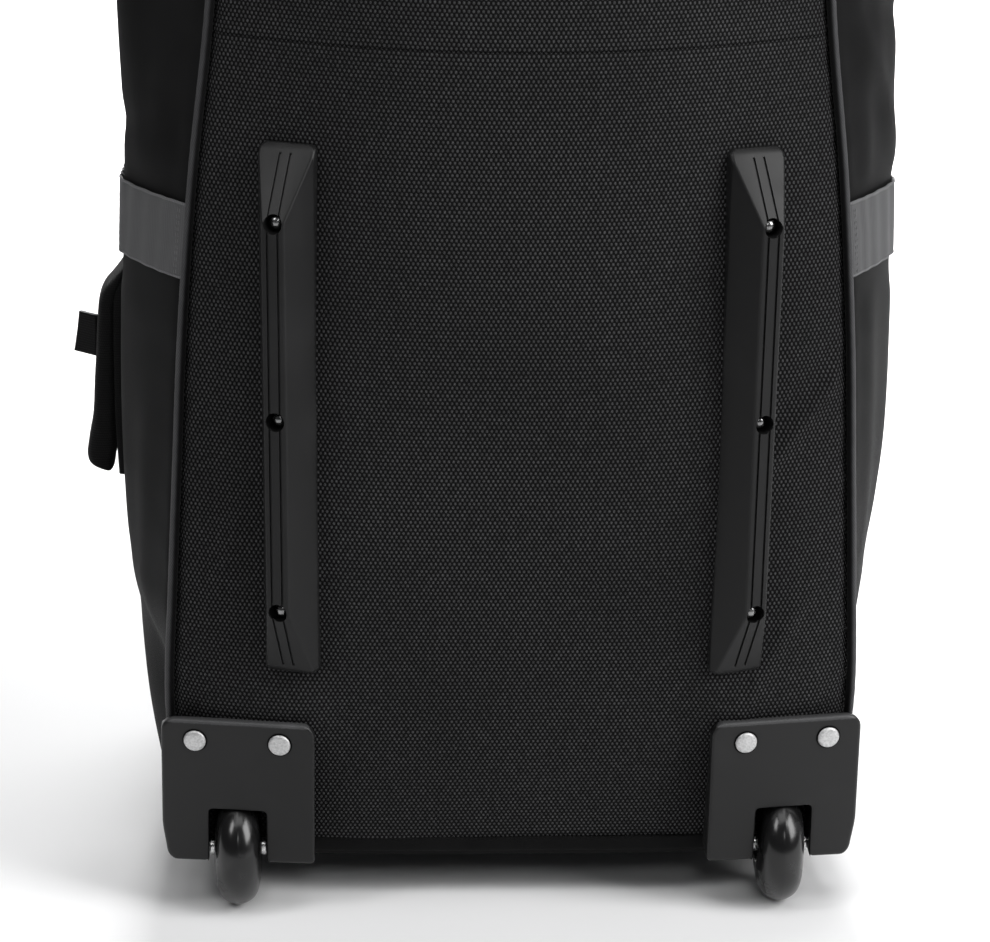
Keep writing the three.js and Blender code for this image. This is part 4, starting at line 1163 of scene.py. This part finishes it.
arch_depth = ARCH_BACK + ARCH_REACH * np.sin(np.linspace(0.25, np.pi / 2, 16))
for depth in [ARCH_START, *arch_depth]:
    y = np.full(len(slot), GUARD_FACE + ARCH_START + depth)
    rise = np.sqrt(np.maximum(ARCH_RADIUS ** 2 - (y - WHEEL_Y) ** 2, 0)) + WHEEL_RADIUS
    z = SLOT_LOW + (slot[:, 1] - SLOT_LOW) * (rise - SLOT_LOW) / (SLOT_TOP - SLOT_LOW)
    rows.append(np.stack([slot[:, 0], y, z], axis=1))
guard_right = np.stack(rows, axis=1)
first_foot = guard_right[:1] * [0, 1, 0] + [SLOT_OUT + 0.7, 0, GUARD_LOW + 0.4]
last_foot = guard_right[-1:] * [0, 1, 0] + [SLOT_IN - 0.7, 0, GUARD_LOW + 0.4]
guard_right = np.concatenate([first_foot, guard_right, last_foot])

rivet_spots = [
    np.array([sign * x, guard_face(x, RIVET_Z), RIVET_Z])
    for sign in (-1, 1) for x in (WHEEL_X - RIVET_REACH, WHEEL_X + RIVET_REACH)]
guard_plastic, tree, shader = new_finish("guard_plastic")
rubs = satin_face(tree, shader)
place = object_metres(tree)
height = feed(add(tree, "ShaderNodeSeparateXYZ"), Vector=place).outputs["Z"]
# Painted highlight: the plastic above this height is painted paler, for light falling on the guard's top.
ragged = calc("ADD", height, times(noise(tree, 900.0), MM))
painted_top_highlight = ramp(ragged, TOP_HIGHLIGHT_FROM * MM, (TOP_HIGHLIGHT_FROM + 1.4) * MM)
# Painted shadow: a dark ring round each rivet, for the shade where its head meets the plate.
from_rivet = 1.0
for spot in rivet_spots:
    away = feed(add(tree, "ShaderNodeVectorMath", operation="DISTANCE"), Vector=place)
    away.inputs[1].default_value = (spot + SHIFT) * MM
    from_rivet = calc("MINIMUM", away.outputs["Value"], from_rivet)
clear = ramp(from_rivet, SHADOW_RING_FROM * MM, (SHADOW_RING_FROM + 1.0) * MM)
# The colour mixes random rub marks with the painted top highlight and the painted shadow rings.
worn = times(spread(painted_top_highlight, 0.14, 1.0), spread(rubs, 0.8, 1.1))
feed(shader, Base_Color=blend(times(worn, clear), 0.0008, 0.07),
     Specular_IOR_Level=spread(clear, 0.03, 0.32))
for name, sign in SIDES:
    make(f"guard_{name}", [guard_right * [sign, 1, 1]], guard_plastic,
         [f"{name}_wheel_guard"], inside=(sign * WHEEL_X, 30, 75), sharp=42)

# %% [markdown]
# The wheel is a turned shape: half of its section, from the hub out to the crown of the tyre, is swung round
# the axle. The two halves of its mould leave a fine line round the middle of the tread. It rides on its own
# body, so it spins in the poses.

# %% Wheels and axles
# Columns: radius, place along the axle
TYRE_HALF = np.array([
    [9.4, 9.9], [10.8, 11.7], [15.0, 11.6], [19.7, 10.9], [23.9, 9.8], [26.9, 7.8], [29.0, 4.9]])
HUB_HALF = np.array([[3.85, 9.5], [6.0, 9.5], [6.3, 9.2], [6.6, 8.8], [8.2, 8.8], [8.6, 9.1], [9.0, 9.5]])
AXLE_HALF = np.array([
    [0, 17.0], [3.2, 17.0], [3.5, 16.7], [3.5, 14.4], [4.6, 14.3], [5.0, 13.9], [5.0, 10.1], [4.7, 9.8],
    [3.5, 9.7]])
TYRE_CROWN = [[30.3, 0.0]]
MIRROR = [1, -1]
ALONG_AXLE = [(1, 0, 0), (0, 1, 0), (0, 0, 1)]


def turned(profile, spot, axes, count):
    """Profile of radius and place along the first of three axes, swung all round it."""
    angle = np.linspace(0, 2 * np.pi, count + 1)[:, None, None]
    radius, along = profile[None, :, 0:1], profile[None, :, 1:2]
    axis, first, second = np.array(axes, float)
    return np.array(spot) + along * axis + radius * (np.cos(angle) * first + np.sin(angle) * second)


tread = curve_through(np.concatenate([TYRE_HALF, TYRE_CROWN, TYRE_HALF[::-1] * MIRROR]), 90)
tread[:, 0] += 0.12 * bell(tread[:, 1], 0, 0.5)
wheel_profile = np.concatenate([HUB_HALF, tread, HUB_HALF[::-1] * MIRROR, HUB_HALF[:1]])
axle_profile = np.concatenate([AXLE_HALF, AXLE_HALF[::-1] * MIRROR])
for name, sign in SIDES:
    spot = (sign * WHEEL_X, WHEEL_Y, WHEEL_RADIUS)
    make(f"wheel_{name}", [turned(wheel_profile, spot, ALONG_AXLE, 96)], tyre_rubber,
         [f"{name}_wheel"], body=f"{name}_wheel_body", sharp=40)
    make(f"axle_{name}", [turned(axle_profile, spot, ALONG_AXLE, 32)], axle_metal,
         [f"{name}_axle"], sharp=40)

# %% [markdown]
# Two rivets hold each guard. A set rivet has a low, nearly flat head with a rolled edge and a flat seat,
# again a turned shape, this time about the direction that the plate faces.

# %% Guard rivets
# Columns: radius, height over the plate
RIVET_PROFILE = np.array([
    [0, 1.9], [2.0, 1.86], [3.6, 1.74], [4.6, 1.52], [5.2, 1.2], [5.5, 0.8], [5.62, 0.45], [5.5, 0.2],
    [5.3, 0.05], [0, 0.0]])
for number, spot in enumerate(rivet_spots, 1):
    facing = unit(np.array([GUARD_YAW * np.sign(spot[0]), -1.0, -GUARD_LEAN]))
    first = unit(np.cross(facing, (0, 0, 1)))
    axes = [facing, first, np.cross(facing, first)]
    make(f"rivet_{number}", [turned(RIVET_PROFILE, spot + facing * 0.1, axes, 40)], rivet_metal,
         [f"guard_rivet_{number}"], sharp=60)

# %% [markdown]
# Two skid rails let the bag slide over steps and kerbs. A rail is a bar with sloping sides and a flat ridge
# with two fine grooves, and at both ends it ramps down to the cloth. Its section is carried along the bar
# while the height, the ridge's width and the rounding of the ends follow curves of the distance from its
# middle.

# %% The rails' section
RAIL_FOOT = 14.2
RAIL_HIGH = 20
RAIL_SLOPE = 0.42
RIDGE_END = 98.5
RIDGE_ROUND = 1.5
UPPER_RAMP = 0.665
LOWER_RAMP = 0.5
LOWER_STRETCH = 0.065
GROOVE = 2.7
GROOVE_DEPTH = 1.1
GROOVE_FLOOR = 0.5
GROOVE_RIM = 0.62
end_steps = RAIL_HALF_LENGTH - 4 * (1 - np.cos(np.linspace(0, np.pi / 2, 12)))
half_along = np.concatenate([
    np.linspace(0, 95, 36)[1:], np.linspace(97.6, 98.9, 4), np.linspace(99.8, 129, 34), end_steps[::-1][1:]])
rail_along = np.concatenate([-half_along[::-1], half_along])
past_ridge = np.maximum(np.abs(rail_along) - RIDGE_END, 0)
past_ridge = np.where(
    past_ridge < RIDGE_ROUND, past_ridge ** 2 / (2 * RIDGE_ROUND), past_ridge - RIDGE_ROUND / 2)
past_end = np.clip((np.abs(rail_along) - 130.2) / 2.8, 0, 1)
high = RAIL_HIGH - np.where(rail_along > 0, UPPER_RAMP, LOWER_RAMP) * past_ridge - 0.8 * past_end ** 2
groove_z = high - GROOVE_DEPTH * smooth_step(129.2 - np.abs(rail_along), 0, 0.8)
foot = RAIL_FOOT - 2.4 * past_end ** 2
ridge = foot - RAIL_SLOPE * np.maximum(high, 1.2)
low = np.minimum(0, high - 3.0)
half_section = [
    (0, high), (GROOVE - GROOVE_RIM, high), (GROOVE - GROOVE_FLOOR, groove_z),
    (GROOVE + GROOVE_FLOOR, groove_z), (GROOVE + GROOVE_RIM, high), (ridge - 1.1, high),
    (ridge - 0.45, high - 0.12), (ridge + 0.05, high - 0.5), (ridge + 0.4, high - 1.15),
    (foot - 0.5, low + 1.0), (foot - 0.1, low + 0.3), (foot, low - 0.8), (foot, -9.0)]
rail_place = rail_along - LOWER_STRETCH * np.maximum(-RIDGE_END - rail_along, 0)
right_half = np.stack([
    np.stack(np.broadcast_arrays(x, rail_place, z), axis=1) for x, z in half_section], axis=1)
left_half = (right_half * [-1, 1, 1])[:, ::-1]
rail_lying = close_ends(np.concatenate([left_half[:, :-1], right_half, left_half[:, :1]], axis=1))
print("rail", round(np.ptp(rail_place)), "mm long with", rail_lying.shape[1] - 1, "points in its section")

# %% [markdown]
# The lying bar is then stood on the back. Its deep screw holes are cut with a boolean, which is run once and
# kept as plain mesh, and a domed screw head sits at the bottom of each.

# %% The skid rails
RAIL_BASE = 15.5
RAIL_TILT = np.radians(20)
RAIL_LEAN = np.radians(0.6)
RAIL_UP = {-1: 268.6, 1: 267.0}
HOLE_STEPS = (-98.5, 0, 98.5)
HOLE_RADIUS = 4.75
HOLE_FLOOR = 6.5
DRILL_LENGTH = 22
SCREW_TOP = 10.0
SCREW_RADIUS = 4.3
RAIL_SHARP = 32
UPWARD = [(0, 0, 1), (1, 0, 0), (0, 1, 0)]


def stand_rail(lying, sign):
    """Turns points that lie across, along and up so that they stand on the back, facing outward a bit."""
    out = lying[..., 2]
    across = lying[..., 0] * np.cos(RAIL_LEAN) + lying[..., 1] * np.sin(RAIL_LEAN)
    along = lying[..., 1] * np.cos(RAIL_LEAN) - lying[..., 0] * np.sin(RAIL_LEAN)
    x = RAIL_X + across * np.cos(RAIL_TILT) + out * np.sin(RAIL_TILT)
    y = RAIL_BASE + across * np.sin(RAIL_TILT) - out * np.cos(RAIL_TILT)
    return np.stack([sign * x, y, RAIL_UP[sign] + along], axis=-1)


def drilled(piece, cutters):
    """Cuts closed meshes out of a piece and keeps the result as its plain mesh."""
    tool = bpy.data.objects.new("drill", cutters)
    bpy.context.collection.objects.link(tool)
    cut = piece.modifiers.new("holes", "BOOLEAN")
    cut.operation = "DIFFERENCE"
    cut.solver = "EXACT"
    cut.object = tool
    bpy.context.view_layer.update()
    made = bpy.data.meshes.new_from_object(piece.evaluated_get(bpy.context.evaluated_depsgraph_get()))
    piece.modifiers.remove(cut)
    bpy.data.objects.remove(tool)
    piece.data = made
    made.set_sharp_from_angle(angle=np.radians(RAIL_SHARP))


# Columns of both profiles: radius, height over the hole's floor
drill_profile = np.array([
    [0, 0], [HOLE_RADIUS - 0.6, 0], [HOLE_RADIUS, 0.6], [HOLE_RADIUS, DRILL_LENGTH], [0, DRILL_LENGTH]])
dome = np.linspace(0, np.pi / 2, 10)
screw_dome = np.stack([SCREW_RADIUS * np.sin(dome), SCREW_TOP - SCREW_RADIUS * (1 - np.cos(dome))], axis=1)
screw_profile = np.concatenate([screw_dome, [[SCREW_RADIUS, 0.0], [0.0, 0.0]]])
screw_number = 0
for name, sign in SIDES:
    rail = make(f"rail_{name}", [stand_rail(rail_lying, sign)], satin_plastic,
                [f"{name}_skid_rail"], sharp=RAIL_SHARP)
    holes = [turned(drill_profile, (0, step, HOLE_FLOOR), UPWARD, 40) for step in HOLE_STEPS]
    drilled(rail, grids_to_mesh("drill", [stand_rail(hole, sign) for hole in holes], BAG_MIDDLE))
    for step in HOLE_STEPS:
        screw_number += 1
        screw = turned(screw_profile, (0, step, HOLE_FLOOR + 0.1), UPWARD, 28)
        make(f"rail_screw_{screw_number}", [stand_rail(screw, sign)], screw_metal,
             [f"rail_rivet_{screw_number}"], sharp=60)

# %% [markdown]
# Two plain feet under the front keep the bag upright when it stands. Each is a rounded block: a superellipse
# for the outline, drawn in towards the floor and towards the top.

# %% The front feet
FOOT_X = 118.0
FOOT_Y = 250.0
# Columns: height, share of the outline
FOOT_ROWS = np.array([
    [0, 0], [0, 0.88], [0.4, 0.94], [1.2, 0.97], [2.6, 0.985], [8, 1], [14, 1], [20, 1], [22.9, 1],
    [23.7, 0.98], [23.7, 0]])
angle = np.linspace(0, 2 * np.pi, 65)
foot_z, foot_in = FOOT_ROWS.T[..., None]
foot_x = foot_in * rounded(np.cos(angle), 24, 0.45)
foot_y = FOOT_Y + foot_in * rounded(np.sin(angle), 14, 0.45)
for name, sign in SIDES:
    points = np.stack(np.broadcast_arrays(sign * FOOT_X + foot_x, foot_y, foot_z), axis=2)
    make(f"foot_{name}", [points], satin_plastic, [f"{name}_front_foot"], sharp=40)
